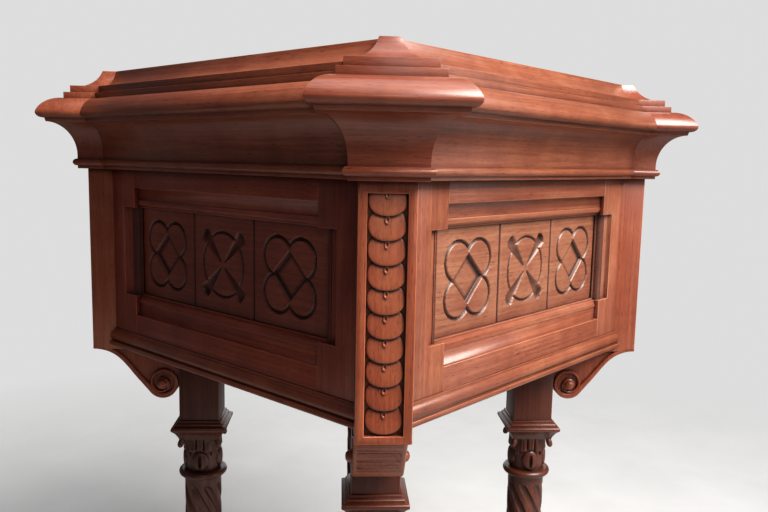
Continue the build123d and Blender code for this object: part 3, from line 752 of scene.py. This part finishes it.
# %% One scale
def scale_mesh():
    """A tilted disc with an undercut lower edge and a drop-shaped ring near its top."""
    wide, tall = 15.2, 12.5
    turns = np.linspace(0, 2 * math.pi, 60, endpoint=False)
    edge = [
        (wide * math.copysign(abs(math.cos(t)) ** 0.88, math.cos(t)),
         tall * math.copysign(abs(math.sin(t)) ** 0.88, math.sin(t))) for t in turns
    ]
    rings = []
    for part, lower in ((0.02, 0), (0.15, 0.01), (0.28, 0.03), (0.4, 0.06), (0.5, 0.09), (0.6, 0.12), (0.7, 0.17),
                        (0.8, 0.24), (0.88, 0.32), (0.95, 0.5), (0.985, 0.8), (1.0, 1.25), (0.985, 1.6),
                        (0.92, 1.9), (0.90, 9.0)):
        ring = []
        for x, z in edge:
            face = 0.7 + 2.9 * (part * z + tall) / (2 * tall)
            ring.append((-min(face + lower, 5.4) * MM, part * x * MM, part * z * MM))
        rings.append(ring)
    disc = loft("scale", rings)
    points, faces = [], []
    around, tube = 20, 6
    for i in range(around):
        t = 2 * math.pi * i / around
        narrow = 1.0 - 0.35 * max(0.0, math.sin(t))
        for j in range(tube):
            s = 2 * math.pi * j / tube
            spread = 1.55 + 0.75 * math.cos(s)
            x = spread * math.cos(t) * narrow
            z = 4.0 + spread * math.sin(t) * 1.7
            base = 0.7 + 2.9 * (z + tall) / (2 * tall)
            points.append((-(base - 0.45 - 0.6 * math.sin(s)) * MM, x * MM, z * MM))
    for i in range(around):
        for j in range(tube):
            a, b = i * tube + j, i * tube + (j + 1) % tube
            c, d = ((i + 1) % around) * tube + (j + 1) % tube, ((i + 1) % around) * tube + j
            faces.append((a, b, c, d))
    whole = merged("scale_with_ring", [disc, mesh_from("drop_ring", points, faces)])
    # painted shade: a dark band at the top of each disc, under the lip of the disc above
    painted_shade_and_wax = whole.attributes.new("painted_shade_and_wax", "FLOAT", "POINT")
    for vertex, mark in zip(whole.vertices, painted_shade_and_wax.data):
        x, z = vertex.co.y / MM, vertex.co.z / MM
        under_lip = tall * (1 - math.sqrt(max(0.0, 1 - min(1.0, abs(x) / 15.6) ** 2.2)))
        mark.value = min(1.0, max(0.0, (z - 4.0 - under_lip) / 1.2))
    return whole


# %% Ten scales up each post
scale_pitch = 19.3 * MM
first_scale = case_z + 20.0 * MM
for corner, angle in CORNERS.items():
    scales = run_group(
        turned_by(scale_mesh(), 0, post_out, first_scale), repeat_on_line,
        {"Count": 10, "Step": (0, 0, scale_pitch), "Finish": post_wood},
    )
    seat("scales_" + corner, turned_by(scales, angle), post_wood, UP, "case", crease=50)
print("scales:", 10 * len(CORNERS))

# %% [markdown]
# ## The scrolled brackets
# A bracket is cut to its outline on the bow saw, then its sides are sunk to leave a
# raised ribbon that follows the sweep and coils round the volute to a domed eye. The
# outline is read back from the joiner's bracket; the ribbon is a rounded strip swept
# along it and on into a spiral.


# %% The outline and the ribbon's path
def outline_of(node, angle):
    """Ordered outline of a bracket in its own plane: (out, up) from the joiner's mesh."""
    work = joiner_copy(node)
    out, across = heading(angle), heading(angle + 90)
    side = {
        f for f in work.faces
        if f.normal.dot(across) > 0.99 and abs(f.verts[0].co.dot(across) - post_half) < 0.1 * MM
    }
    follow = {}
    for edge in work.edges:
        if sum(face in side for face in edge.link_faces) == 1:
            for a, b in (edge.verts, reversed(edge.verts)):
                follow.setdefault(a, []).append(b)
    loops = []
    while follow:
        loop = [next(iter(follow))]
        while loop[-1] in follow:
            onward = [v for v in follow.pop(loop[-1]) if v in follow]
            loop += onward[:1]
        loops.append(loop)
    outer = max(loops, key=lambda loop: max(v.co.dot(out) for v in loop))
    points = [(v.co.dot(out), v.co.z) for v in outer]
    work.free()
    return points


outline = outline_of("bracket_front_right", CORNERS["front_right"])
volute = 18 * MM
block_half = 23 * MM
eye_gap, eye_drop = 1.1 * MM, 41 * MM
eye = (leg_out + block_half + eye_gap + volute, case_z - eye_drop)
coil_steps, coil_turn = 99, math.radians(5.2)
coil_in = 10.2 * MM
print("outline points", len(outline), "eye", tuple(round(v, 4) for v in eye))


def sweep_path():
    """Outer edge of the ribbon: down the bracket's sweep and round the volute, inwards."""
    toe = min(range(len(outline)), key=lambda i: math.dist(outline[i], (post_out, case_z)))
    turn = math.radians(39)
    landing = (eye[0] + volute * math.cos(turn), eye[1] - volute * math.sin(turn))
    end = min(range(len(outline)), key=lambda i: math.dist(outline[i], landing))
    count = len(outline)
    forward = [outline[(toe + i) % count] for i in range((end - toe) % count + 1)]
    backward = [outline[(toe - i) % count] for i in range((toe - end) % count + 1)]
    path = min(forward, backward, key=len)[:-1]
    for step in range(1, coil_steps + 1):
        angle = -turn - step * coil_turn
        run = step / coil_steps
        radius = volute - coil_in * max(0.0, (run - 0.36) / 0.64) ** 1.1
        path.append((eye[0] + radius * math.cos(angle), eye[1] + radius * math.sin(angle)))
    return path


def even(path, pitch):
    """The same path with its points evenly spaced."""
    line = np.array(path)
    far = np.concatenate([[0], np.cumsum(np.hypot(*np.diff(line, axis=0).T))])
    marks = np.linspace(0, far[-1], int(far[-1] / pitch) + 1)
    return np.stack([np.interp(marks, far, line[:, i]) for i in (0, 1)], axis=-1)


ribbon_pitch = 1.6 * MM
path = even(sweep_path(), ribbon_pitch)
print("ribbon length", round(ribbon_pitch * len(path), 4))


# %% The bracket: sunk core, ribbon and eye
def extruded(name, flat, low, high):
    """Closed prism of a (out, up) outline between two places across."""
    return loft(name, [[(x, y, z) for x, z in flat] for y in (low, high)])


def ribbon_mesh(name):
    """Rounded strip that stands proud on both sides of the bracket."""
    slope = np.gradient(path, axis=0)
    slope /= np.linalg.norm(slope, axis=1)[:, None]
    inward = np.stack([slope[:, 1], -slope[:, 0]], axis=-1)
    if np.dot(inward[2], np.array([leg_out, case_z]) - path[2]) < 0 and inward[2][1] < 0:
        inward = -inward
    rings = []
    total = len(path) - 1
    tall = post_half
    for i, (point, side) in enumerate(zip(path, inward)):
        run = i / total
        wide = (4.8 + 1.6 * math.exp(-((run - 0.42) / 0.12) ** 2) - 2.6 * max(0.0, (run - 0.5) / 0.5)) * MM
        soft = min(1.1 * MM, wide * 0.3)
        ring = []
        for into, across in ((0, tall - soft), (soft, tall), (wide - soft, tall), (wide, tall - soft),
                             (wide, soft - tall), (wide - soft, -tall), (soft, -tall), (0, soft - tall)):
            x, z = point + side * into
            ring.append((x, across, z))
        rings.append(ring)
    return loft(name, rings)


def lathe(name, profile, segments=48, place=(0, 0, 0)):
    """Solid turned about the upright axis from (radius, up) points, closed at both ends."""
    rings = []
    for radius, up in profile:
        ring = []
        for i in range(segments):
            turn = 2 * math.pi * i / segments
            reach = max(radius, 1e-5)
            ring.append((place[0] + reach * math.cos(turn), place[1] + reach * math.sin(turn), place[2] + up))
        rings.append(ring)
    return loft(name, rings)


def eye_boss(name):
    """Domed boss through the middle of the volute."""
    dome = [(7.0, 0.0), (7.0, 23.4), (6.2, 24.0), (5.6, 24.3), (5.5, 25.0)]
    dome += arc((5.4, 25.2), (3.9, 28.0), (0.0, 29.0), 8)
    whole = [(r * MM, -z * MM) for r, z in reversed(dome)] + [(r * MM, z * MM) for r, z in dome[1:]]
    mesh = lathe(name, whole, 36)
    mesh.transform(Matrix.Translation((eye[0], 0, eye[1])) @ Matrix.Rotation(math.radians(90), 4, "X"))
    return mesh


core_half = 19.6 * MM      # half the thickness left between the ribbons
for corner, angle in CORNERS.items():
    node = "bracket_" + corner
    core = extruded("core", outline, -core_half, core_half)
    mesh = merged(node, [core, ribbon_mesh("ribbon"), eye_boss("eye")])
    seat(node + "_carved", turned_by(mesh, angle), post_wood, UP, "case", [node])
print("brackets:", len(CORNERS))

# %% [markdown]
# ## The legs
# A leg is one square billet. Its blocks are left square, the rest is turned, and the
# turned part is then carved: leaves on the neck and hollow flutes that wind round the
# column. The square mouldings above the neck are cut with a saw and chisel.
# The flutes follow a rule, so a node group winds them: the distance round the column
# from the nearest flute's centre line gives the depth of a round gouge, and the same
# distance taken past the end of the flute gives its rounded top.


# %% The rule of the flutes
def flute_group():
    """Sinks spiral flutes into an upright column that stands on the local Z axis."""
    kinds = {"Flutes": "NodeSocketInt", "Lead": "NodeSocketFloat", "Radius": "NodeSocketFloat",
             "Width": "NodeSocketFloat", "Depth": "NodeSocketFloat", "Middle": "NodeSocketFloat",
             "Half Length": "NodeSocketFloat"}
    group, inputs = new_group("wind_flutes", kinds)
    parts = group.nodes.new("ShaderNodeSeparateXYZ")
    join(group, group.nodes.new("GeometryNodeInputPosition").outputs[0], parts.inputs[0])
    x, y, z = parts.outputs
    turn = calc(group, "ARCTAN2", y, x)
    winding = calc(group, "DIVIDE", calc(group, "MULTIPLY", z, 2 * math.pi), inputs["Lead"])
    phase = calc(group, "ADD", turn, winding)
    pitch = calc(group, "DIVIDE", 2 * math.pi, inputs["Flutes"])
    half = calc(group, "MULTIPLY", pitch, 0.5)
    from_centre = calc(group, "WRAP", phase, half, calc(group, "MULTIPLY", half, -1.0))
    aside = calc(group, "DIVIDE", calc(group, "MULTIPLY", from_centre, inputs["Radius"]), inputs["Width"])
    high = calc(group, "ABSOLUTE", calc(group, "SUBTRACT", z, inputs["Middle"]))
    past = calc(group, "MAXIMUM", calc(group, "SUBTRACT", high, inputs["Half Length"]), 0.0)
    past = calc(group, "DIVIDE", past, inputs["Width"])
    away = calc(group, "ADD", calc(group, "MULTIPLY", aside, aside), calc(group, "MULTIPLY", past, past))
    gouge = calc(group, "SQRT", calc(group, "MAXIMUM", calc(group, "SUBTRACT", 1.0, away), 0.0))
    deep = calc(group, "MULTIPLY", gouge, calc(group, "MULTIPLY", inputs["Depth"], -1.0))
    outward = group.nodes.new("ShaderNodeCombineXYZ")
    join(group, calc(group, "COSINE", turn), outward.inputs[0])
    join(group, calc(group, "SINE", turn), outward.inputs[1])
    shift = group.nodes.new("ShaderNodeVectorMath")
    shift.operation = "SCALE"
    join(group, outward.outputs[0], shift.inputs[0])
    join(group, deep, shift.inputs["Scale"])
    cut = group.nodes.new("GeometryNodeSetPosition")
    join(group, inputs["Geometry"], cut.inputs["Geometry"])
    join(group, shift.outputs[0], cut.inputs["Offset"])
    close_group(group, cut.outputs[0], inputs)
    return group


wind_flutes = flute_group()


column_radius = 21.6 * MM
flute_lead = 0.245         # height in which a flute goes once round


def fluted_column(name, low, high):
    """Column between two heights with spiral flutes wound round it."""
    rows = 86
    profile = [(1e-5, low)]
    for i in range(rows + 1):
        up = low + (high - low) * i / rows
        flare = 2.9 * max(0.0, 1 - (up - low) / MM / 7.0) ** 2 + 0.8 * max(0.0, 1 - (high - up) / MM / 6.0) ** 2
        profile.append((column_radius + flare * MM, up))
    profile.append((1e-5, high))
    column = lathe(name, profile, 160)
    values = {"Flutes": 8, "Lead": flute_lead, "Radius": column_radius, "Width": 4.4 * MM, "Depth": 3.5 * MM,
              "Middle": (low + high) / 2, "Half Length": (high - low) / 2 - 15.0 * MM, "Finish": turned_wood}
    return run_group(column, wind_flutes, values)


# %% [markdown]
# ## The carved neck
# On each face of the neck sits a bean with an upright slit, and leaves droop over it
# from under the abacus, with their tips curling out at the corners. It is cut from
# the turned neck, so it too is a height field, wrapped round the axis.


# %% Neck, rings and square mouldings
def rounded(distance):
    """Half-round section: 1 on the middle line, 0 at a distance of 1 and beyond."""
    return np.sqrt(np.clip(1 - distance ** 2, 0, 1))


def neck_mesh(name, low, high):
    """Turned neck carved with beans and drooping leaves, between two heights."""
    around, rows = 200, 56
    tall = (high - low) / MM
    turn, up = np.meshgrid(np.linspace(0, 2 * math.pi, around, endpoint=False), np.linspace(0, tall, rows + 1))
    aside = ((turn + math.pi / 4) % (math.pi / 2) - math.pi / 4) * 22.0
    bean = rounded(np.hypot(aside / 11.5, (up - 13.0) / 12.0))
    slit = rounded(np.hypot(aside / 1.7, (up - 12.5) / 8.5))
    rise = 3.6 * bean ** 0.7 - 3.4 * slit
    leaves = ((0.0, 27.5, 4.2), (10.0, 24.0, 5.0), (-10.0, 24.0, 5.0), (17.3, 19.0, 3.4), (-17.3, 19.0, 3.4))
    for middle, tip, half in leaves:
        end = np.clip((tip + 4 - up) / 4, 0, 1)
        leaf = rounded((aside - middle) / half) * rounded(end)
        curl = 1.8 + 2.0 * np.clip(1 - (up - tip) / 14, 0, 1)
        rib = 0.8 * np.exp(-((aside - middle) / 0.6) ** 2)
        rise = np.maximum(rise, leaf ** 0.6 * curl - rib * (leaf > 0))
    radius = (19.9 + rise + 1.2 * (up / tall) ** 8) * MM
    rings = [[(1e-5 * math.cos(t), 1e-5 * math.sin(t), low) for t in turn[0]]]
    for row in range(rows + 1):
        rings.append([
            (r * math.cos(t), r * math.sin(t), low + u * MM) for r, t, u in zip(radius[row], turn[row], up[row])
        ])
    rings.append([(1e-5 * math.cos(t), 1e-5 * math.sin(t), high) for t in turn[0]])
    return loft(name, rings)


def square_stack(name, rows, edge=0.7):
    """Stack of squares on the local axis from (half width, up) rows, with eased arrises."""
    rings = []
    for half, up in rows:
        h = half * MM
        rings.append([(h, h, up), (-h, h, up), (-h, -h, up), (h, -h, up)])
    return loft(name, rings, edge * MM)


def leaf_tip(name, turn):
    """Small leaf end that curls out under one corner of the abacus."""
    drop = [(0.0, 0.0), (2.6, -0.8), (3.4, -4.0), (3.7, -7.0), (3.4, -9.8), (2.0, -12.0), (0.0, -12.8)]
    mesh = lathe(name, [(r * MM, z * MM) for r, z in drop], 16)
    mesh.transform(Matrix.Rotation(math.radians(turn), 4, "Z") @ Matrix.Translation((28.0 * MM, 0, 0))
                   @ Matrix.Rotation(math.radians(-24), 4, "Y"))
    return mesh


def leg_mesh(name):
    """A whole leg about the local upright axis."""
    drop = case_z
    foot_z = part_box("foot_front_right")[1].z
    top = [(23.0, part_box("leg_front_right")[1].z), (23.0, drop - 86 * MM), (25.2, drop - 86.6 * MM),
           (25.2, drop - 88.6 * MM), (27.8, drop - 90.2 * MM), (27.8, drop - 92 * MM), (30.6, drop - 93.2 * MM),
           (31.8, drop - 94.0 * MM), (31.8, drop - 97.5 * MM), (30.2, drop - 98.6 * MM), (27.6, drop - 101.5 * MM),
           (25.0, drop - 106 * MM), (23.6, drop - 110 * MM), (20.0, drop - 110 * MM)]
    ring_z, collar_z = drop - 151.6 * MM, drop - 159.6 * MM
    low_block, low_ring, low_fillet = 150 * MM, 166 * MM, 174 * MM
    ring = [(0.0, ring_z + 0.4 * MM), (20.5 * MM, ring_z + 0.4 * MM), (23.0 * MM, ring_z)]
    ring += arc((24.0 * MM, ring_z), (28.5 * MM, ring_z - 4.0 * MM), (24.0 * MM, collar_z), 12)
    ring += [(22.4 * MM, collar_z), (22.0 * MM, collar_z - 1.0 * MM), (0.0, collar_z - 1.0 * MM)]
    low = [(0.0, low_fillet + 2.0 * MM), (23.6 * MM, low_fillet + 2.0 * MM), (24.0 * MM, low_fillet + 1.6 * MM)]
    low += arc((24.0 * MM, low_fillet), (28.5 * MM, low_fillet - 4.0 * MM), (24.0 * MM, low_ring), 12)
    low += [(21.0 * MM, low_ring), (21.0 * MM, low_ring - 5 * MM), (22.0 * MM, low_block), (0.0, low_block)]
    block = [(21.0, low_block + 2 * MM), (23.0, low_block - 1 * MM), (23.0, foot_z + 1 * MM), (22.0, foot_z)]
    parts = [square_stack("upper", top), neck_mesh("neck", ring_z, drop - 109.5 * MM), lathe("ring", ring, 64),
             fluted_column("column", low_fillet + 1.9 * MM, collar_z + 0.1 * MM), lathe("low_ring", low, 64),
             square_stack("block", block)]
    parts += [leaf_tip("tip", turn) for turn in (45, 135, 225, 315)]
    for part in parts[-4:]:
        part.transform(Matrix.Translation((0, 0, drop - 108 * MM)))
    return merged(name, parts)


for corner, angle in CORNERS.items():
    node = "leg_" + corner
    mesh = turned_by(leg_mesh(node), angle, leg_out)
    seat(node + "_turned", mesh, turned_wood, UP, "case", [node])
print("legs:", len(CORNERS), "faces each:", len(mesh.polygons))

# %% [markdown]
# ## Feet, finial and pull
# These are plain turnings, so a section and an axis are enough. They are turned again
# here with more facets than the joiner's model has.


# %% Plain turnings
def smooth_line(points, steps=8):
    """Smooth line through points, a Catmull-Rom curve."""
    done = []
    ends = [points[0]] + points + [points[-1]]
    for a, b, c, d in zip(ends, ends[1:], ends[2:], ends[3:]):
        for i in range(steps):
            t = i / steps
            done.append(tuple(
                0.5 * (2 * b[k] + (c[k] - a[k]) * t + (2 * a[k] - 5 * b[k] + 4 * c[k] - d[k]) * t * t
                       + (3 * b[k] - a[k] - 3 * c[k] + d[k]) * t ** 3) for k in (0, 1)
            ))
    return done + [points[-1]]


def scaled(rows, place=0.0):
    return [(r * MM, place + z * MM) for r, z in rows]


bun = [(0, 0), (16, 0)] + arc((16.0, 0.0), (28.0, 25.8), (17.0, 49.7), 16)[1:]
bun += arc((17.0, 49.7), (22.0, 58.9), (17.0, 68.1), 8)[1:]
bun += arc((17.0, 68.1), (18.2, 82.8), (21.0, 92.0), 8)[1:] + [(0, 92)]
for corner, angle in CORNERS.items():
    node = "foot_" + corner
    mesh = turned_by(lathe(node, scaled(bun), 64), angle, leg_out)
    seat(node + "_turned", mesh, turned_wood, UP, "case", [node])

urn_low, urn_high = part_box("stretcher_finial")
urn_tall = (urn_high.z - urn_low.z) / MM
urn = [(0, 0), (13.3, 0)] + smooth_line(
    [(13.3, 0.08 * urn_tall), (6.65, 0.22 * urn_tall), (19.0, 0.5 * urn_tall), (6.65, 0.78 * urn_tall),
     (0.0, urn_tall)]
)
seat("stretcher_finial_turned", lathe("urn", scaled(urn, urn_low.z), 64), turned_wood, UP, "case",
     ["stretcher_finial"])

pull_low, pull_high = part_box("till_pull")
pull = [(0, 0), (2.7, 0), (2.7, 3.0)] + arc((2.7, 3.0), (6.0, 6.5), (2.7, 10.0), 10)[1:] + [(0, 10.0)]
mesh = lathe("pull", scaled(pull), 32, ((pull_low.x + pull_high.x) / 2, 0, pull_low.z))
seat("till_pull_turned", mesh, till_wood, UP, "till", ["till_pull"])
print("turnings: 4 feet, finial, pull")

# %% [markdown]
# ## Brass hinges and their screws
# The butts are old brass gone brown in the hollows. The screws are countersunk steel
# with one slot; one is made, then the node group that repeated the scales sets three
# in a row and two rows apart.


# %% Metals
def metal(name, bright, dull, rough):
    """Old metal, tarnished in patches and in its hollows."""
    made = bpy.data.materials.new(name)
    made.use_nodes = True
    tree = made.node_tree
    shader = tree.nodes["Principled BSDF"]
    place = add_node(tree, "ShaderNodeTexCoord").outputs["Object"]
    patches = scaled_noise(tree, place, (70, 70, 70), detail=4.0)
    hollow = add_node(tree, "ShaderNodeAmbientOcclusion", samples=6, Distance=3 * MM)
    clean = calc(tree, "MULTIPLY", patches, hollow.outputs["AO"])
    join(tree, ramp(tree, clean, [(0.25, dull), (0.62, bright)]), shader.inputs["Base Color"])
    scratches = scaled_noise(tree, place, (300, 1800, 1800), detail=2.0)
    spread = add_node(tree, "ShaderNodeMapRange", To_Min=rough - 0.08, To_Max=rough + 0.14)
    join(tree, scratches, spread.inputs["Value"])
    join(tree, spread.outputs["Result"], shader.inputs["Roughness"])
    bump = add_node(tree, "ShaderNodeBump", Strength=0.1, Distance=0.1 * MM)
    join(tree, scratches, bump.inputs["Height"])
    join(tree, bump.outputs["Normal"], shader.inputs["Normal"])
    shader.inputs["Metallic"].default_value = 1.0
    return made


brass = metal("old_brass", (0.66, 0.43, 0.17), (0.16, 0.09, 0.035), 0.34)
steel = metal("old_steel", (0.42, 0.41, 0.39), (0.10, 0.09, 0.08), 0.38)
for node in ("case_hinge_leaves", "lid_hinge_leaves", "hinge_pins"):
    seat(node + "_worn", eased(node, 0.2 * MM), brass, (1, 0, 0), body_of[node], [node])


# %% Slotted screws
def screw_mesh(way):
    """A countersunk screw, head at height 0; way is +1 with the shank up, -1 down."""
    shape = [(0.0, 0.0), (2.75, 0.0), (2.9, 0.1), (1.4, 1.2), (1.4, 10.6), (0.0, 12.0)]
    solid = lathe("screw", scaled([(r, way * z) for r, z in shape]), 24)
    work = bmesh.new()
    work.from_mesh(solid)
    bpy.data.meshes.remove(solid)
    for line in (-0.4 * MM, 0.4 * MM):
        cap = [f for f in work.faces if abs(f.calc_center_median().z) < 1e-5]
        geometry = cap + list({e for f in cap for e in f.edges}) + list({v for f in cap for v in f.verts})
        bmesh.ops.bisect_plane(work, geom=geometry, plane_co=(0, line, 0), plane_no=(0, 1, 0), dist=1e-7)
    middles = {f: f.calc_center_median() for f in work.faces}
    slot = [f for f in work.faces if abs(middles[f].z) < 1e-5 and abs(middles[f].y) < 0.39 * MM]
    sunk_part = bmesh.ops.extrude_face_region(work, geom=slot)["geom"]
    bmesh.ops.delete(work, geom=slot, context="FACES_KEEP_BOUNDARY")
    bmesh.ops.translate(work, verts=[v for v in sunk_part if isinstance(v, bmesh.types.BMVert)],
                        vec=(0, 0, way * 0.55 * MM))
    bmesh.ops.recalc_face_normals(work, faces=work.faces)
    mesh = bpy.data.meshes.new("slotted_screw")
    work.to_mesh(mesh)
    work.free()
    return mesh


screw_line = case_half - 10 * MM
first_screw, screw_step, hinge_step = -130 * MM, 20 * MM, 220 * MM
for node, way in (("case_hinge_screws", -1), ("lid_hinge_screws", 1)):
    one = screw_mesh(way)
    one.transform(Matrix.Translation((first_screw, screw_line, seat_z)))
    row = run_group(one, repeat_on_line, {"Count": 3, "Step": (screw_step, 0, 0), "Finish": steel})
    both = run_group(row, repeat_on_line, {"Count": 2, "Step": (hinge_step, 0, 0), "Finish": steel})
    seat(node + "_slotted", both, steel, (1, 0, 0), body_of[node], [node])
print("screws:", 12)

# %% [markdown]
# ## The studio
# The floor is a pale disc that fades out with distance, so no horizon shows. A white
# floor throws much light up under the mouldings; this one gives back less than it
# shows to the camera, which keeps the undersides as dark as in a furnished room.


# %% Floor
floor_finish = bpy.data.materials.new("pale_floor")
floor_finish.use_nodes = True
tree = floor_finish.node_tree
shader = tree.nodes["Principled BSDF"]
place = add_node(tree, "ShaderNodeTexCoord").outputs["Object"]
speck = scaled_noise(tree, place, (6, 6, 6), detail=5.0)
pale = ramp(tree, speck, [(0.3, grey(0.60)), (0.7, grey(0.68))])
looked_at = tree.nodes.new("ShaderNodeLightPath").outputs["Is Camera Ray"]
join(tree, mix_colour(tree, "MIX", looked_at, grey(0.44), pale), shader.inputs["Base Color"])
shader.inputs["Roughness"].default_value = 0.85
far = add_node(tree, "ShaderNodeVectorMath", operation="LENGTH")
join(tree, place, far.inputs[0])
fade_start, fade_end, floor_radius, floor_z = 0.45, 1.7, 1.8, -0.0005
fade = add_node(
    tree, "ShaderNodeMapRange", From_Min=fade_start, From_Max=fade_end, To_Min=1.0, To_Max=0.0
)
join(tree, far.outputs["Value"], fade.inputs["Value"])
join(tree, fade.outputs["Result"], shader.inputs["Alpha"])
turns = [2 * math.pi * i / 96 for i in range(96)]
disc = bpy.data.meshes.new("floor")
rim = [(floor_radius * math.cos(t), floor_radius * math.sin(t), floor_z) for t in turns]
disc.from_pydata(rim, [], [tuple(range(len(rim)))])
disc.materials.append(floor_finish)
floor = bpy.data.objects.new("floor", disc)
bpy.context.scene.collection.objects.link(floor)

# %% [markdown]
# One large soft lamp stands to the right and above, so the right side is bright and
# the left one dark, as beside a window. Four weak ones stand in for the walls and
# the ceiling. The room itself is light grey to look at but lights the wood little.

# %% Light and air
world = bpy.data.worlds.new("studio")
world.use_nodes = True
tree = world.node_tree
room = tree.nodes["Background"]
seen = tree.nodes.new("ShaderNodeLightPath")
shade = mix_colour(tree, "MIX", seen.outputs["Is Camera Ray"], grey(0.085), grey(0.62))
join(tree, shade, room.inputs["Color"])
bpy.context.scene.world = world


def lamp(name, place, aim, power, size, colour):
    """Square soft lamp at a place, looking at a point."""
    light = bpy.data.lights.new(name, "AREA")
    light.energy, light.size, light.color = power, size, colour
    held = bpy.data.objects.new(name, light)
    held.location = place
    held.rotation_euler = (Vector(aim) - Vector(place)).to_track_quat("-Z", "Y").to_euler()
    bpy.context.scene.collection.objects.link(held)


lamp("key", (1.55, 0.16, 2.10), (0.1, 0, 0.6), 90, 1.2, (1.0, 0.97, 0.93))
lamp("window", (2.0, -1.5, 1.7), (0.25, -0.25, 0.6), 6, 0.8, (1.0, 0.98, 0.95))
lamp("right_wall", (2.3, 0.7, 0.8), (0, 0, 0.6), 12, 2.2, (1.0, 1.0, 1.0))
lamp("ceiling", (0.3, -0.1, 2.6), (0, 0, 0.7), 18, 1.8, (1.0, 1.0, 1.0))
lamp("far_wall", (-1.7, 2.0, 1.1), (0, 0, 0.7), 16, 2.2, (1.0, 1.0, 1.0))

# %% [markdown]
# The camera stands low, just under the top of the lid, looking at a corner. It is
# turned a little about its own axis, so its matrix is built from three directions.

# %% Camera
azimuth, pitch, roll = (math.radians(v) for v in (41.644, 7.257, 1.155))
forward = Vector((-math.sin(azimuth) * math.cos(pitch), math.cos(azimuth) * math.cos(pitch), -math.sin(pitch)))
level = Vector((math.cos(azimuth), math.sin(azimuth), 0))
above = level.cross(forward)
right = level * math.cos(roll) + above * math.sin(roll)
up = above * math.cos(roll) - level * math.sin(roll)
lens = bpy.data.cameras.new("camera")
lens.sensor_width = 36
lens.lens = 35.12
lens.clip_start = 0.01
camera = bpy.data.objects.new("camera", lens)
stand = (0.6033, -0.6538, 0.6863)
aimed = Matrix([(right[i], up[i], -forward[i]) for i in range(3)]).to_4x4()
camera.matrix_world = Matrix.Translation(stand) @ aimed
bpy.context.scene.collection.objects.link(camera)
bpy.context.scene.camera = camera
bpy.context.scene.view_settings.view_transform = "Standard"
bpy.context.scene.view_settings.look = "Medium High Contrast"
print("camera at", tuple(round(v, 3) for v in camera.location))
